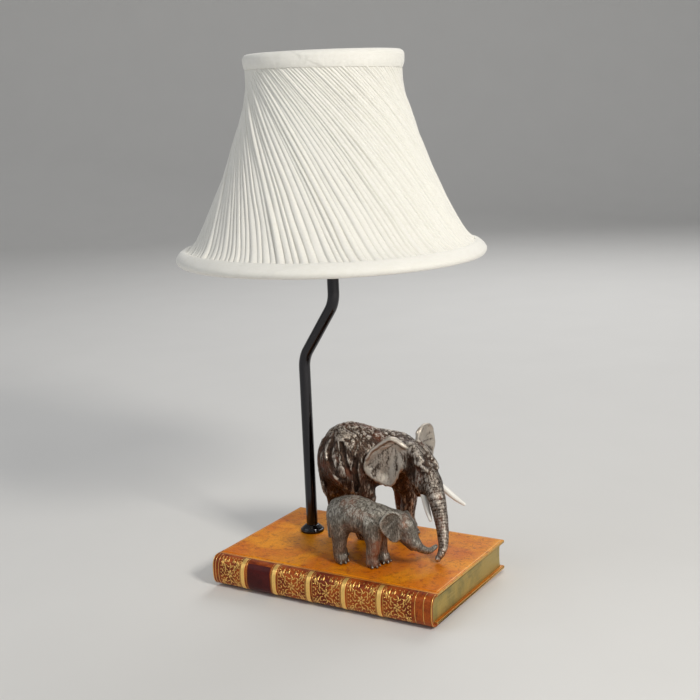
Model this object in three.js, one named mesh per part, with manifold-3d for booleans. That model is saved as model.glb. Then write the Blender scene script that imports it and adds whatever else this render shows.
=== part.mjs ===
// A table lamp on a base shaped as one leather-bound book lying flat, with a cast cow elephant and her calf
// standing on the cover, a cranked metal stem and a pleated bell shade.
// Millimetres, +Z up. The origin is on the surface that the lamp stands on, under the middle of the shade.
// +X runs along the spine of the book, and the spine faces -Y.
import * as THREE from "three";
import { mergeVertices } from "three/addons/utils/BufferGeometryUtils.js";
import Module from "manifold-3d";

const wasm = await Module();
wasm.setup();

// ---------- Driving dimensions ----------

const GAP = 0.3; // between pieces that touch

// Book
const BOOK_X0 = -84.2;
const BOOK_X1 = 125.8;
const BOOK_FRONT_Y = -69.9; // where the boards meet the rounded spine
const BOOK_BACK_Y = 59.5;
const BOOK_TOP_Z = 28.14;
const FELT_THICKNESS = 1.6;
const FELT_INSET = 2.5;
const BOARD_THICKNESS = 2.8;
const SQUARE = 3.0; // how far the boards stand out past the page block
const SPINE_BULGE = 9.8;
const SPINE_SQUARENESS = 2.8; // 2 would be a half ellipse
const SPINE_STEPS = 24;
const SPINE_THICKNESS = 1.4;
const BAND_BULGE = 11;
const BAND_WIDTH = 4.0;
const BAND_X = [-52.6, -20.8, 12.9, 46.3, 79.2];
const LABEL_MARGIN = 2.2;
const LABEL_THICKNESS = 0.5;
const LABEL_WRAP = 0.32 * Math.PI; // radians round the spine, each way from its middle
const CAVITY_WALL = 14;
const CAVITY_TOP_Z = 17;
const BALLAST = { x0: -22, x1: 104, y0: -50, y1: 38, thickness: 6 };

// Stem
const STEM_X = -39.1;
const STEM_Y = 10.05;
const STEM_RADIUS = 5.0;
const STEM_BORE = 3.8;
const STEM_FOOT_Z = 8.2;
const STEM_LOW_BEND_Z = 187;
const STEM_HIGH_BEND_Z = 239;
const STEM_TOP_Z = 303;
const STEM_BEND_REACH = 9; // length of each leg that a bend takes up
const COLLAR_RADIUS = 10.5;
const COLLAR_HEIGHT = 6;
const WASHER_RADIUS = 9;
const WASHER_THICKNESS = 1.4;
const NUT_RADIUS = 8.6;
const NUT_THICKNESS = 4.5;

// Lampholder and bulb, on the axis x = y = 0
const CAP_Z = 299;
const HOLDER_Z = 318;
const HOLDER_TOP_Z = 362;
const HOLDER_RADIUS = 13.8;
const HOLDER_BORE = 11.2;
const SHOULDER_Z = 342;
const SHOULDER_THICKNESS = 1.6;
const SHADE_RING_RADIUS = 19;
const FITTER_Z = 346.2;
const FITTER_THICKNESS = 2;
const FITTER_RADIUS = 18;
const FITTER_ARM_RADIUS = 1.1;
const FITTER_ARM_HEADINGS = [30, 150, 270]; // degrees
const SWITCH_Z = 309;
const SWITCH_RADIUS = 2.4;
const SWITCH_LENGTH = 38;
const SWITCH_X = -3; // the bar's middle before it is pushed across
const BULB_RADIUS = 22.5;
const BULB_CENTRE_Z = 391;
const BULB_CAP_Z = 337;
const BULB_CAP_TOP_Z = 360;
const BULB_CAP_RADIUS = 7;
const BULB_TIP_RADIUS = 2.4;
const BULB_NECK_ANGLE = -62; // degrees round the globe at which its neck begins

// Shade
const SHADE_SIDES = 30;
const HEM_RADIUS = 124;
const HEM_Z = 281.3;
const RIM_RADIUS = 61.4;
const RIM_Z = 441;
const WIRE_RADIUS = 1.25;
const RIB_RADIUS = 1.0;
const RIB_COUNT = 6;
const RIB_START = Math.PI / 6;
const SKIN_NEAR = 1.35; // cover and lining lie between these distances from the frame's own line
const SKIN_FAR = 2.15;
const BINDING_NEAR = 2.45;
const BINDING_FAR = 3.3;

// Figures
const FIGURE_FLOOR_Z = BOOK_TOP_Z + GAP;
const SCREW_RADIUS = 1.5;
const SCREW_HEAD_RADIUS = 3;
const SCREW_TOP_Z = 40;
const SCREW_HEAD_DEPTH = 2.2;
const SCREW_SIDES = 12;
const DOME_ANGLES = [0.8, 1.3]; // radians up a limb's round end
const COW_SIDES = 16;
const HEAD_SIDES = 14;
const CALF_SIDES = 12;
const SLIM_SIDES = 8;

// ---------- Shapes ----------

/** A closed geometry as a solid. */
function solid(geometry) {
  const bare = geometry.clone();
  bare.deleteAttribute("normal");
  bare.deleteAttribute("uv");
  const merged = mergeVertices(bare, 1e-4);
  const index = merged.index.array;
  const kept = [];
  for (let i = 0; i < index.length; i += 3) {
    const [a, b, c] = index.slice(i, i + 3);
    if (a !== b && b !== c && c !== a) kept.push(a, b, c);
  }
  const vertProperties = merged.attributes.position.array;
  return new wasm.Manifold(new wasm.Mesh({ numProp: 3, vertProperties, triVerts: new Uint32Array(kept) }));
}

/** The union of a list of solids. */
function join(...solids) {
  return solids.reduce((sum, next) => sum.add(next));
}

/** The first solid with the others taken away. */
function cut(body, ...tools) {
  return tools.reduce((left, tool) => left.subtract(tool), body);
}

function box(x0, x1, y0, y1, z0, z1) {
  const geometry = new THREE.BoxGeometry(x1 - x0, y1 - y0, z1 - z0);
  return solid(geometry.translate((x0 + x1) / 2, (y0 + y1) / 2, (z0 + z1) / 2));
}

/** A solid of revolution about the vertical line through (x, y), from [radius, z] points. */
function revolve(profile, sides, x = 0, y = 0) {
  const outline = profile.map(([radius, z]) => new THREE.Vector2(radius, z));
  if (THREE.ShapeUtils.isClockWise(outline)) outline.reverse();
  outline.push(outline[0].clone());
  const geometry = new THREE.LatheGeometry(outline, sides).rotateX(Math.PI / 2);
  return solid(geometry.translate(x, y, 0));
}

/** An upright cylinder. */
function rod(x, y, radius, z0, z1, sides = 24) {
  const geometry = new THREE.CylinderGeometry(radius, radius, z1 - z0, sides).rotateX(Math.PI / 2);
  return solid(geometry.translate(x, y, (z0 + z1) / 2));
}

/** An upright ring with a square section. */
function ring(x, y, inner, outer, z0, z1, sides = 24) {
  return cut(rod(x, y, outer, z0, z1, sides), rod(x, y, inner, z0 - 1, z1 + 1, sides));
}

/** A path through stations, one extrusion step from each station to the next. */
class StationPath extends THREE.Curve {
  constructor(stations) {
    super();
    this.stations = stations;
  }

  getPoint(t) {
    const place = t * (this.stations.length - 1);
    const i = Math.min(Math.floor(place), this.stations.length - 2);
    return this.stations[i].clone().lerp(this.stations[i + 1], place - i);
  }

  getPointAt(t) {
    return this.getPoint(t);
  }

  getTangentAt(t) {
    const half = 0.5 / (this.stations.length - 1);
    const ahead = this.getPoint(Math.min(1, t + half));
    return ahead.sub(this.getPoint(Math.max(0, t - half))).normalize();
  }
}

/** A bar or tube along a path of stations. */
function sweep(stations, radius, sides, bore = 0) {
  const section = new THREE.Shape().absarc(0, 0, radius, 0, 2 * Math.PI);
  if (bore) section.holes.push(new THREE.Path().absarc(0, 0, bore, 0, 2 * Math.PI, true));
  const extrudePath = new StationPath(stations);
  const options = { steps: stations.length - 1, curveSegments: sides / 2, bevelEnabled: false, extrudePath };
  return solid(new THREE.ExtrudeGeometry(section, options));
}

/** A section in the YZ plane extruded along X. */
function extrudeAlongX(shape, x0, x1, curveSegments = 8) {
  const geometry = new THREE.ExtrudeGeometry(shape, { depth: x1 - x0, bevelEnabled: false, curveSegments });
  const turn = new THREE.Matrix4().makeBasis(
    new THREE.Vector3(0, 1, 0),
    new THREE.Vector3(0, 0, 1),
    new THREE.Vector3(1, 0, 0),
  );
  return solid(geometry.applyMatrix4(turn).translate(x0, 0, 0));
}

/** A rounded limb through a chain of [x, y, z, radius] balls: one skin with a dome at each end. */
function limb(balls, sides = 10) {
  const centres = balls.map(([x, y, z]) => new THREE.Vector3(x, y, z));
  const last = centres.length - 1;
  const leading = centres[1].clone().sub(centres[0]).normalize();
  const trailing = centres[last].clone().sub(centres[last - 1]).normalize();
  const rows = centres.map((centre, i) => ({
    centre,
    radius: balls[i][3],
    along: centres[Math.min(last, i + 1)].clone().sub(centres[Math.max(0, i - 1)]).normalize(),
  }));
  const dome = (end, along, sign) =>
    DOME_ANGLES.map((angle) => ({
      centre: end.centre.clone().addScaledVector(along, sign * end.radius * Math.sin(angle)),
      radius: end.radius * Math.cos(angle),
      along,
    }));
  const first = dome(rows[0], leading, -1).reverse();
  const stack = [...first, ...rows, ...dome(rows[last], trailing, 1)];
  const geometry = new THREE.CylinderGeometry(1, 1, 1, sides, stack.length - 1);
  const position = geometry.getAttribute("position");
  const across = sideways(stack.map((row) => row.along));
  for (let i = 0; i < position.count; i += 1) {
    const k = Math.round((0.5 - position.getY(i)) * (stack.length - 1));
    const { centre, radius, along } = stack[k];
    const other = along.clone().cross(across[k]);
    const point = centre.clone().addScaledVector(across[k], radius * position.getX(i));
    point.addScaledVector(other, radius * position.getZ(i));
    position.setXYZ(i, point.x, point.y, point.z);
  }
  return solid(geometry);
}

/** A sideways direction for each direction in a chain, turned as little as possible from one to the next. */
function sideways(directions) {
  const start = new THREE.Vector3(0, 0, 1).cross(directions[0]);
  if (start.length() < 0.1) start.set(1, 0, 0).cross(directions[0]);
  const list = [start.normalize()];
  for (let i = 1; i < directions.length; i += 1) {
    const turn = new THREE.Quaternion().setFromUnitVectors(directions[i - 1], directions[i]);
    list.push(list[i - 1].clone().applyQuaternion(turn));
  }
  return list;
}

// ---------- Assembly ----------

const lamp = new THREE.Group();

/** Adds one named piece with its own material to the lamp. */
function piece(name, body, color, roughness, metalness = 0) {
  const mesh = body.getMesh();
  const geometry = new THREE.BufferGeometry();
  geometry.setAttribute("position", new THREE.BufferAttribute(mesh.vertProperties, 3));
  geometry.setIndex(new THREE.BufferAttribute(mesh.triVerts, 1));
  geometry.computeVertexNormals();
  const material = new THREE.MeshStandardMaterial({ color, roughness, metalness });
  const node = new THREE.Mesh(geometry, material);
  node.name = name;
  lamp.add(node);
}

// ---------- Figure placing ----------

/** Turns [forward, left, up, radius] balls about an origin into balls in the lamp's frame. */
function placed(origin, heading, balls) {
  const turn = THREE.MathUtils.degToRad(heading);
  const c = Math.cos(turn);
  const s = Math.sin(turn);
  return balls.map(([forward, left, up, radius]) => [
    origin[0] + forward * c - left * s,
    origin[1] + forward * s + left * c,
    origin[2] + up,
    radius,
  ]);
}

/** An upright plate, from an outline of [along, z] points on a vertical plane through (x, y). */
function uprightPlate(x, y, heading, outline, thickness) {
  const shape = new THREE.Shape();
  shape.setFromPoints(outline.map(([along, z]) => new THREE.Vector2(along, z)));
  const geometry = new THREE.ExtrudeGeometry(shape, { depth: thickness, bevelEnabled: false });
  geometry.translate(0, 0, -thickness / 2).rotateX(Math.PI / 2);
  return solid(geometry.rotateZ(THREE.MathUtils.degToRad(heading)).translate(x, y, 0));
}

const COW_ORIGIN = [-2, 13, 28.3];
const COW_HEADING = 38;
const COW_HEAD = [64, 20, 101];
const COW_HEAD_HEADING = -20;
const CALF_ORIGIN = [23, -38, 28.3];
const CALF_HEADING = 4;
const CALF_HEAD = [79, -31, 61];
const CALF_HEAD_HEADING = -4;

const cowBody = (balls) => placed(COW_ORIGIN, COW_HEADING, balls);
const cowHead = (balls) => placed(COW_HEAD, COW_HEAD_HEADING, balls);
const calfBody = (balls) => placed(CALF_ORIGIN, CALF_HEADING, balls);
const calfHead = (balls) => placed(CALF_HEAD, CALF_HEAD_HEADING, balls);

// Fixing screws, each up into a foot: [name, x, y]
const SCREWS = [
  ["cow_front_screw", ...cowBody([[53, -8, 0, 0]])[0].slice(0, 2)],
  ["cow_rear_screw", ...cowBody([[-8, 12, 0, 0]])[0].slice(0, 2)],
  ["calf_front_screw", ...calfBody([[30, -6, 0, 0]])[0].slice(0, 2)],
  ["calf_rear_screw", ...calfBody([[1, -7, 0, 0]])[0].slice(0, 2)],
];

/** Clearance holes for the fixing screws. */
function screwHoles(z0, z1) {
  return SCREWS.map(([, x, y]) => rod(x, y, SCREW_RADIUS + GAP, z0, z1, SCREW_SIDES));
}

// ---------- Book ----------

const BOARD_LOW_Z = FELT_THICKNESS + GAP;
const PAGES_LOW_Z = BOARD_LOW_Z + BOARD_THICKNESS + GAP;
const BOARD_HIGH_Z = BOOK_TOP_Z - BOARD_THICKNESS;
const PAGES_HIGH_Z = BOARD_HIGH_Z - GAP;
const SPINE_MID_Z = (BOARD_LOW_Z + BOOK_TOP_Z) / 2;
const SPINE_HALF = (BOOK_TOP_Z - BOARD_LOW_Z) / 2;
const GLAND_X = STEM_X;
const GLAND_Z = 11;
const GLAND_BORE = 3.6;
const GLAND_NECK = 4.9;
const GLAND_FLANGE = 6.3;

/** Points [y, z] round the book's squarish front, from one angle to another. */
function bulgeLine(middle, bulge, half, from, to) {
  const power = 2 / SPINE_SQUARENESS;
  const swell = (value) => Math.sign(value) * Math.abs(value) ** power;
  return Array.from({ length: SPINE_STEPS + 1 }, (_, i) => {
    const angle = from + ((to - from) * i) / SPINE_STEPS;
    return new THREE.Vector2(BOOK_FRONT_Y + bulge * swell(Math.cos(angle)), middle + half * swell(Math.sin(angle)));
  });
}

/** Half of a squarish tube, open towards +Y, as a section in the YZ plane. */
function spineSection(bulge, half, thickness, from = Math.PI / 2, to = 1.5 * Math.PI) {
  return new THREE.Shape([
    ...bulgeLine(SPINE_MID_Z, bulge, half, from, to),
    ...bulgeLine(SPINE_MID_Z, bulge - thickness, half - thickness, to, from),
  ]);
}

function pageBlock() {
  const middle = (PAGES_LOW_Z + PAGES_HIGH_Z) / 2;
  const half = (PAGES_HIGH_Z - PAGES_LOW_Z) / 2;
  const bulge = SPINE_BULGE - SPINE_THICKNESS - 0.5;
  const shape = new THREE.Shape(bulgeLine(middle, bulge, half, Math.PI / 2, 1.5 * Math.PI));
  shape.lineTo(BOOK_BACK_Y - SQUARE, PAGES_LOW_Z);
  shape.lineTo(BOOK_BACK_Y - SQUARE, PAGES_HIGH_Z);
  const block = extrudeAlongX(shape, BOOK_X0 + SQUARE, BOOK_X1 - SQUARE);
  const cavity = box(
    BOOK_X0 + SQUARE + CAVITY_WALL,
    BOOK_X1 - SQUARE - CAVITY_WALL,
    BOOK_FRONT_Y + CAVITY_WALL,
    BOOK_BACK_Y - SQUARE - CAVITY_WALL,
    PAGES_LOW_Z - 1,
    CAVITY_TOP_Z,
  );
  const stemHole = rod(STEM_X, STEM_Y, STEM_RADIUS + GAP, CAVITY_TOP_Z - 1, PAGES_HIGH_Z + 1);
  const glandHole = alongY(GLAND_NECK + GAP, BOOK_BACK_Y - SQUARE - CAVITY_WALL - 1, BOOK_BACK_Y);
  return cut(block, cavity, stemHole, glandHole, ...screwHoles(CAVITY_TOP_Z - 1, PAGES_HIGH_Z + 1));
}

/** A bar on the cable gland's own line, which runs along Y. */
function alongY(radius, y0, y1) {
  const geometry = new THREE.CylinderGeometry(radius, radius, y1 - y0, 20);
  return solid(geometry.translate(GLAND_X, (y0 + y1) / 2, GLAND_Z));
}

/** One cover board, from its underside upwards. */
function board(z0) {
  return box(BOOK_X0, BOOK_X1, BOOK_FRONT_Y + GAP, BOOK_BACK_Y, z0, z0 + BOARD_THICKNESS);
}

function addBook() {
  const felt = box(
    BOOK_X0 + FELT_INSET,
    BOOK_X1 - FELT_INSET,
    BOOK_FRONT_Y + FELT_INSET,
    BOOK_BACK_Y - FELT_INSET,
    0,
    FELT_THICKNESS,
  );
  piece("felt_pad", felt, 0x2a2622, 0.95);
  piece("back_board", board(BOARD_LOW_Z), 0xa8541c, 0.35);
  const frontBoard = cut(
    board(BOARD_HIGH_Z),
    rod(STEM_X, STEM_Y, STEM_RADIUS + GAP, BOARD_HIGH_Z - 1, BOOK_TOP_Z + 1),
    ...screwHoles(BOARD_HIGH_Z - 1, BOOK_TOP_Z + 1),
  );
  piece("front_board", frontBoard, 0xc0651f, 0.3);
  piece("page_block", pageBlock(), 0xa98c3a, 0.4, 0.5);

  const bandSection = spineSection(BAND_BULGE, SPINE_HALF, SPINE_THICKNESS);
  const bands = BAND_X.map((x) => extrudeAlongX(bandSection, x - BAND_WIDTH / 2, x + BAND_WIDTH / 2));
  const spine = extrudeAlongX(spineSection(SPINE_BULGE, SPINE_HALF, SPINE_THICKNESS), BOOK_X0, BOOK_X1);
  piece("spine_cover", join(spine, ...bands), 0x7a2f14, 0.4);

  const labelSection = spineSection(
    SPINE_BULGE + GAP + LABEL_THICKNESS,
    SPINE_HALF + GAP + LABEL_THICKNESS,
    LABEL_THICKNESS,
    Math.PI - LABEL_WRAP,
    Math.PI + LABEL_WRAP,
  );
  const labelX0 = BAND_X[0] + BAND_WIDTH / 2 + LABEL_MARGIN;
  const labelX1 = BAND_X[1] - BAND_WIDTH / 2 - LABEL_MARGIN;
  piece("title_label", extrudeAlongX(labelSection, labelX0, labelX1), 0x3a0c0c, 0.4);
}

function addInsideBook() {
  const { x0, x1, y0, y1, thickness } = BALLAST;
  const ballast = box(x0, x1, y0, y1, PAGES_LOW_Z + GAP, PAGES_LOW_Z + GAP + thickness);
  piece("ballast_plate", ballast, 0x55585c, 0.5, 0.9);
  for (const [name, x, y] of SCREWS) {
    const headTop = CAVITY_TOP_Z - GAP;
    const head = rod(x, y, SCREW_HEAD_RADIUS, headTop - SCREW_HEAD_DEPTH, headTop, SCREW_SIDES);
    const shank = rod(x, y, SCREW_RADIUS, headTop - 1, SCREW_TOP_Z, SCREW_SIDES);
    piece(name, join(head, shank), 0x8a8d90, 0.35, 1);
  }
  const wallInside = BOOK_BACK_Y - SQUARE - CAVITY_WALL;
  const wallOutside = BOOK_BACK_Y - SQUARE;
  const neck = alongY(GLAND_NECK, wallInside - 2, wallOutside + 1);
  const flange = alongY(GLAND_FLANGE, wallOutside + GAP, BOOK_BACK_Y - GAP);
  const gland = cut(join(neck, flange), alongY(GLAND_BORE, wallInside - 3, BOOK_BACK_Y + 1));
  piece("cable_gland", gland, 0x1b1b1b, 0.6);
}

// ---------- Stem ----------

/** Stations of a quarter-rounded corner at a point, between two unit directions. */
function bend(corner, before, after) {
  const start = corner.clone().addScaledVector(before, -STEM_BEND_REACH);
  const end = corner.clone().addScaledVector(after, STEM_BEND_REACH);
  return new THREE.QuadraticBezierCurve3(start, corner, end).getPoints(5);
}

function addStem() {
  const up = new THREE.Vector3(0, 0, 1);
  const low = new THREE.Vector3(STEM_X, STEM_Y, STEM_LOW_BEND_Z);
  const high = new THREE.Vector3(0, 0, STEM_HIGH_BEND_Z);
  const slant = high.clone().sub(low).normalize();
  const stations = [
    new THREE.Vector3(STEM_X, STEM_Y, STEM_FOOT_Z),
    ...bend(low, up, slant),
    ...bend(high, slant, up),
    new THREE.Vector3(0, 0, STEM_TOP_Z),
  ];
  piece("stem_tube", sweep(stations, STEM_RADIUS, 14, STEM_BORE), 0x17161a, 0.18, 1);

  const bore = STEM_RADIUS + GAP;
  const collar = [
    [bore, FIGURE_FLOOR_Z],
    [COLLAR_RADIUS, FIGURE_FLOOR_Z],
    [COLLAR_RADIUS, FIGURE_FLOOR_Z + 1.6],
    [COLLAR_RADIUS - 0.9, FIGURE_FLOOR_Z + 3.2],
    [COLLAR_RADIUS - 2.8, FIGURE_FLOOR_Z + 4.8],
    [bore + 0.8, FIGURE_FLOOR_Z + COLLAR_HEIGHT],
    [bore, FIGURE_FLOOR_Z + COLLAR_HEIGHT],
  ];
  piece("stem_collar", revolve(collar, 28, STEM_X, STEM_Y), 0x17161a, 0.2, 1);

  const washerTop = CAVITY_TOP_Z - GAP;
  const nutTop = washerTop - WASHER_THICKNESS - GAP;
  const washer = ring(STEM_X, STEM_Y, bore, WASHER_RADIUS, washerTop - WASHER_THICKNESS, washerTop);
  piece("stem_washer", washer, 0x9a9da0, 0.35, 1);
  const nut = cut(
    rod(STEM_X, STEM_Y, NUT_RADIUS, nutTop - NUT_THICKNESS, nutTop, 6),
    rod(STEM_X, STEM_Y, bore, 0, washerTop),
  );
  piece("stem_lock_nut", nut, 0x9a9da0, 0.35, 1);
}

// ---------- Lampholder and bulb ----------

function addLampholder() {
  const cap = revolve(
    [
      [STEM_RADIUS + GAP, CAP_Z],
      [8, CAP_Z],
      [HOLDER_RADIUS - 1.5, CAP_Z + 3.5],
      [HOLDER_RADIUS, CAP_Z + 7],
      [HOLDER_RADIUS, HOLDER_Z - GAP],
      [HOLDER_BORE, HOLDER_Z - GAP],
      [HOLDER_BORE, CAP_Z + 7],
      [STEM_RADIUS + GAP, CAP_Z + 3.5],
    ],
    28,
  );
  piece("lampholder_cap", cut(cap, switchBar(SWITCH_RADIUS + GAP, 2 * SWITCH_LENGTH)), 0x1d1c20, 0.3, 0.8);

  const skirt = revolve(
    [
      [HOLDER_BORE, HOLDER_Z],
      [HOLDER_RADIUS, HOLDER_Z],
      [HOLDER_RADIUS, SHOULDER_Z - 2],
      [HOLDER_RADIUS + 2.2, SHOULDER_Z],
      [HOLDER_RADIUS + 2.2, SHOULDER_Z + SHOULDER_THICKNESS],
      [HOLDER_RADIUS, SHOULDER_Z + SHOULDER_THICKNESS],
      [HOLDER_RADIUS, HOLDER_TOP_Z],
      [HOLDER_BORE, HOLDER_TOP_Z],
    ],
    28,
  );
  piece("lampholder_skirt", skirt, 0xe9e4d6, 0.4);
  const blockTop = HOLDER_Z + 12;
  const contactZ = blockTop + GAP;
  piece("contact_block", rod(0, 0, HOLDER_BORE - GAP, HOLDER_Z + 4, blockTop), 0xd9d2c2, 0.6);
  const sleeveBore = BULB_CAP_RADIUS + 0.6;
  const sleeve = ring(0, 0, sleeveBore, sleeveBore + 1.2, contactZ, BULB_CAP_TOP_Z - 2);
  piece("screw_shell_contact", sleeve, 0xb08a3e, 0.35, 1);
  piece("centre_contact", rod(0, 0, BULB_TIP_RADIUS, contactZ, BULB_CAP_Z - GAP, 12), 0xb08a3e, 0.35, 1);

  const collarBore = HOLDER_RADIUS + GAP;
  const lowerRingZ = SHOULDER_Z + SHOULDER_THICKNESS + GAP;
  const upperRingZ = FITTER_Z + FITTER_THICKNESS + GAP;
  const lower = ring(0, 0, collarBore, SHADE_RING_RADIUS - 1, lowerRingZ, FITTER_Z - GAP);
  piece("lower_shade_ring", lower, 0xe9e4d6, 0.4);
  const turned = revolve(
    [
      [collarBore, upperRingZ],
      [SHADE_RING_RADIUS, upperRingZ],
      [SHADE_RING_RADIUS, upperRingZ + 2],
      [SHADE_RING_RADIUS - 2.6, upperRingZ + 3],
      [SHADE_RING_RADIUS - 2.6, upperRingZ + 8],
      [collarBore, upperRingZ + 8],
    ],
    28,
  );
  piece("upper_shade_ring", turned, 0xe9e4d6, 0.4);

  piece("switch_bar", switchBar(SWITCH_RADIUS, SWITCH_LENGTH, SWITCH_X), 0xe9e4d6, 0.35);
}

/** A bar along X through the lampholder cap. */
function switchBar(radius, length, x = 0) {
  const geometry = new THREE.CylinderGeometry(radius, radius, length, 16).rotateZ(Math.PI / 2);
  return solid(geometry.translate(x, 0, SWITCH_Z));
}

function addBulb() {
  const cap = revolve(
    [
      [0, BULB_CAP_Z],
      [BULB_TIP_RADIUS, BULB_CAP_Z],
      [BULB_CAP_RADIUS - 1.4, BULB_CAP_Z + 2.6],
      [BULB_CAP_RADIUS, BULB_CAP_Z + 3.6],
      [BULB_CAP_RADIUS, BULB_CAP_TOP_Z],
      [0, BULB_CAP_TOP_Z],
    ],
    20,
  );
  piece("bulb_cap", cap, 0xc7c9cb, 0.25, 1);
  const neckZ = BULB_CAP_TOP_Z + GAP;
  const glass = [[0, neckZ], [BULB_CAP_RADIUS - 0.4, neckZ]];
  const first = THREE.MathUtils.degToRad(BULB_NECK_ANGLE);
  for (let i = 0; i <= 8; i += 1) {
    const angle = THREE.MathUtils.lerp(first, Math.PI / 2, i / 8);
    glass.push([BULB_RADIUS * Math.cos(angle), BULB_CENTRE_Z + BULB_RADIUS * Math.sin(angle)]);
  }
  piece("bulb_glass", revolve(glass, 24), 0xf4f2ea, 0.3);
}

// ---------- Shade ----------

// The line of the wire frame, from the top ring down to the hem, as [radius, z].
const FRAME_LINE = new THREE.SplineCurve(
  [
    [RIM_RADIUS, RIM_Z],
    [60.6, 426],
    [62.9, 408.6],
    [67.6, 392],
    [74.4, 371.3],
    [82.2, 350.2],
    [92.5, 326],
    [103, 304.4],
    [112, 290.7],
    [HEM_RADIUS, HEM_Z],
  ].map(([radius, z]) => new THREE.Vector2(radius, z)),
);
const FRAME_STEPS = 9;
// Shares of the frame line, from 0 at the rim to 1 at the hem.
const SKIN_SHARES = [0.012, 0.975];
const RIB_SHARES = [0.02, 0.978];
const TOP_BINDING_SHARE = 0.055;
const HEM_BINDING_SHARE = 0.955;

/** Point on the frame line at share t, moved outwards across it. */
function besideFrame(t, distance) {
  const point = FRAME_LINE.getPoint(t);
  const tangent = FRAME_LINE.getTangent(t);
  return [point.x - tangent.y * distance, point.y + tangent.x * distance];
}

/** A skin of revolution between two distances from the frame line. */
function skin(near, far, from, to) {
  const shares = [];
  for (let i = 0; i <= FRAME_STEPS; i += 1) shares.push(THREE.MathUtils.lerp(from, to, i / FRAME_STEPS));
  const outer = shares.map((t) => besideFrame(t, far));
  const inner = shares.map((t) => besideFrame(t, near));
  return revolve([...outer, ...inner.reverse()], SHADE_SIDES);
}

/** A channel of revolution folded round one end of the skins: 0 is the rim's end and 1 is the hem's. */
function binding(end, open) {
  const [radius, z] = besideFrame(end, 0);
  const tangent = FRAME_LINE.getTangent(end).multiplyScalar(end ? 1 : -1);
  const arc = (reach) => {
    const points = [];
    for (let i = 0; i <= 4; i += 1) {
      const angle = THREE.MathUtils.lerp(-Math.PI / 2, Math.PI / 2, i / 4);
      const along = Math.cos(angle) * reach;
      const across = Math.sin(angle) * reach;
      points.push([
        radius + tangent.x * along + tangent.y * across,
        z + tangent.y * along - tangent.x * across,
      ]);
    }
    return points;
  };
  const side = end ? 1 : -1;
  const lip = (distance) => besideFrame(open, distance * side);
  const outside = [lip(BINDING_FAR), ...arc(BINDING_FAR), lip(-BINDING_FAR)];
  const inside = [lip(-BINDING_NEAR), ...arc(BINDING_NEAR).reverse(), lip(BINDING_NEAR)];
  return revolve([...outside, ...inside], SHADE_SIDES);
}

/** A wire ring lying flat. */
function wireRing(radius, z, wire) {
  const geometry = new THREE.TorusGeometry(radius, wire, 6, SHADE_SIDES);
  return solid(geometry.translate(0, 0, z));
}

function addShade() {
  const ivory = 0xf3efe2;
  const steel = 0xe8e6e0;
  piece("shade_cover", skin(SKIN_NEAR, SKIN_FAR, ...SKIN_SHARES), ivory, 0.85);
  piece("shade_lining", skin(-SKIN_FAR, -SKIN_NEAR, ...SKIN_SHARES), 0xefeadb, 0.8);
  piece("top_binding", binding(0, TOP_BINDING_SHARE), ivory, 0.85);
  piece("hem_binding", binding(1, HEM_BINDING_SHARE), ivory, 0.85);
  piece("top_ring", wireRing(RIM_RADIUS, RIM_Z, WIRE_RADIUS), steel, 0.4, 0.6);
  piece("hem_ring", wireRing(HEM_RADIUS, HEM_Z, WIRE_RADIUS), steel, 0.4, 0.6);
  for (let i = 0; i < RIB_COUNT; i += 1) {
    const angle = RIB_START + (2 * Math.PI * i) / RIB_COUNT;
    const stations = [];
    for (let k = 0; k <= FRAME_STEPS; k += 1) {
      const point = FRAME_LINE.getPoint(THREE.MathUtils.lerp(...RIB_SHARES, k / FRAME_STEPS));
      stations.push(new THREE.Vector3(point.x * Math.cos(angle), point.x * Math.sin(angle), point.y));
    }
    piece("rib_" + (i + 1), sweep(stations, RIB_RADIUS, 6), steel, 0.4, 0.6);
  }
  addFitter(steel);
}

/** The ring that sits on the lampholder, with three arms that rise to the top ring. */
function addFitter(steel) {
  const hub = ring(0, 0, HOLDER_RADIUS + GAP, FITTER_RADIUS, FITTER_Z, FITTER_Z + FITTER_THICKNESS);
  const armLine = new THREE.SplineCurve(
    [
      [FITTER_RADIUS - 0.8, FITTER_Z + 1],
      [28, FITTER_Z + 3],
      [40, FITTER_Z + 22],
      [48, FITTER_Z + 55],
      [54, FITTER_Z + 82],
      [56.2, RIM_Z - 1],
    ].map(([radius, z]) => new THREE.Vector2(radius, z)),
  );
  const arms = FITTER_ARM_HEADINGS.map((degrees) => {
    const angle = THREE.MathUtils.degToRad(degrees);
    const stations = armLine
      .getPoints(8)
      .map((p) => new THREE.Vector3(p.x * Math.cos(angle), p.x * Math.sin(angle), p.y));
    return sweep(stations, FITTER_ARM_RADIUS, 6);
  });
  piece("fitter_ring", join(hub, ...arms), steel, 0.4, 0.6);
}

// ---------- Figures ----------

// Each limb is a chain of [forward, left, up, radius] balls in its animal's body or head frame.
const COW_TORSO = [
  [-3, 0, 71, 23],
  [5, 0, 78, 24],
  [20, 0, 70, 25.5],
  [38, 0, 69, 21.5],
  [50, 0, 66, 17.5],
];
const COW_LEGS = [
  [[4, -11, 60, 14], [14, -12, 38, 9.5], [9, -12, 16, 7.2], [11, -12, 7, 7.8]],
  [[-5, 11, 60, 14], [-9, 12, 38, 9.5], [-9, 12, 16, 7.2], [-8, 12, 7, 7.8]],
  [[50, -9, 58, 11], [53, -8, 36, 8], [51, -8, 16, 6.8], [53, -8, 7, 7.4]],
  [[47, 8, 58, 11], [49, 7, 36, 8], [50, 7, 16, 6.8], [52, 7, 7, 7.4]],
];
const COW_TAIL = [[-23, 0, 86, 3], [-25.5, -1, 72, 2.4], [-23.5, -3, 56, 2.2], [-20.5, -4, 45, 2.6]];
const COW_NECK_START = [48, 0, 70, 17];
const COW_NECK_END = [-8, 0, 0, 13.5];
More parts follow.
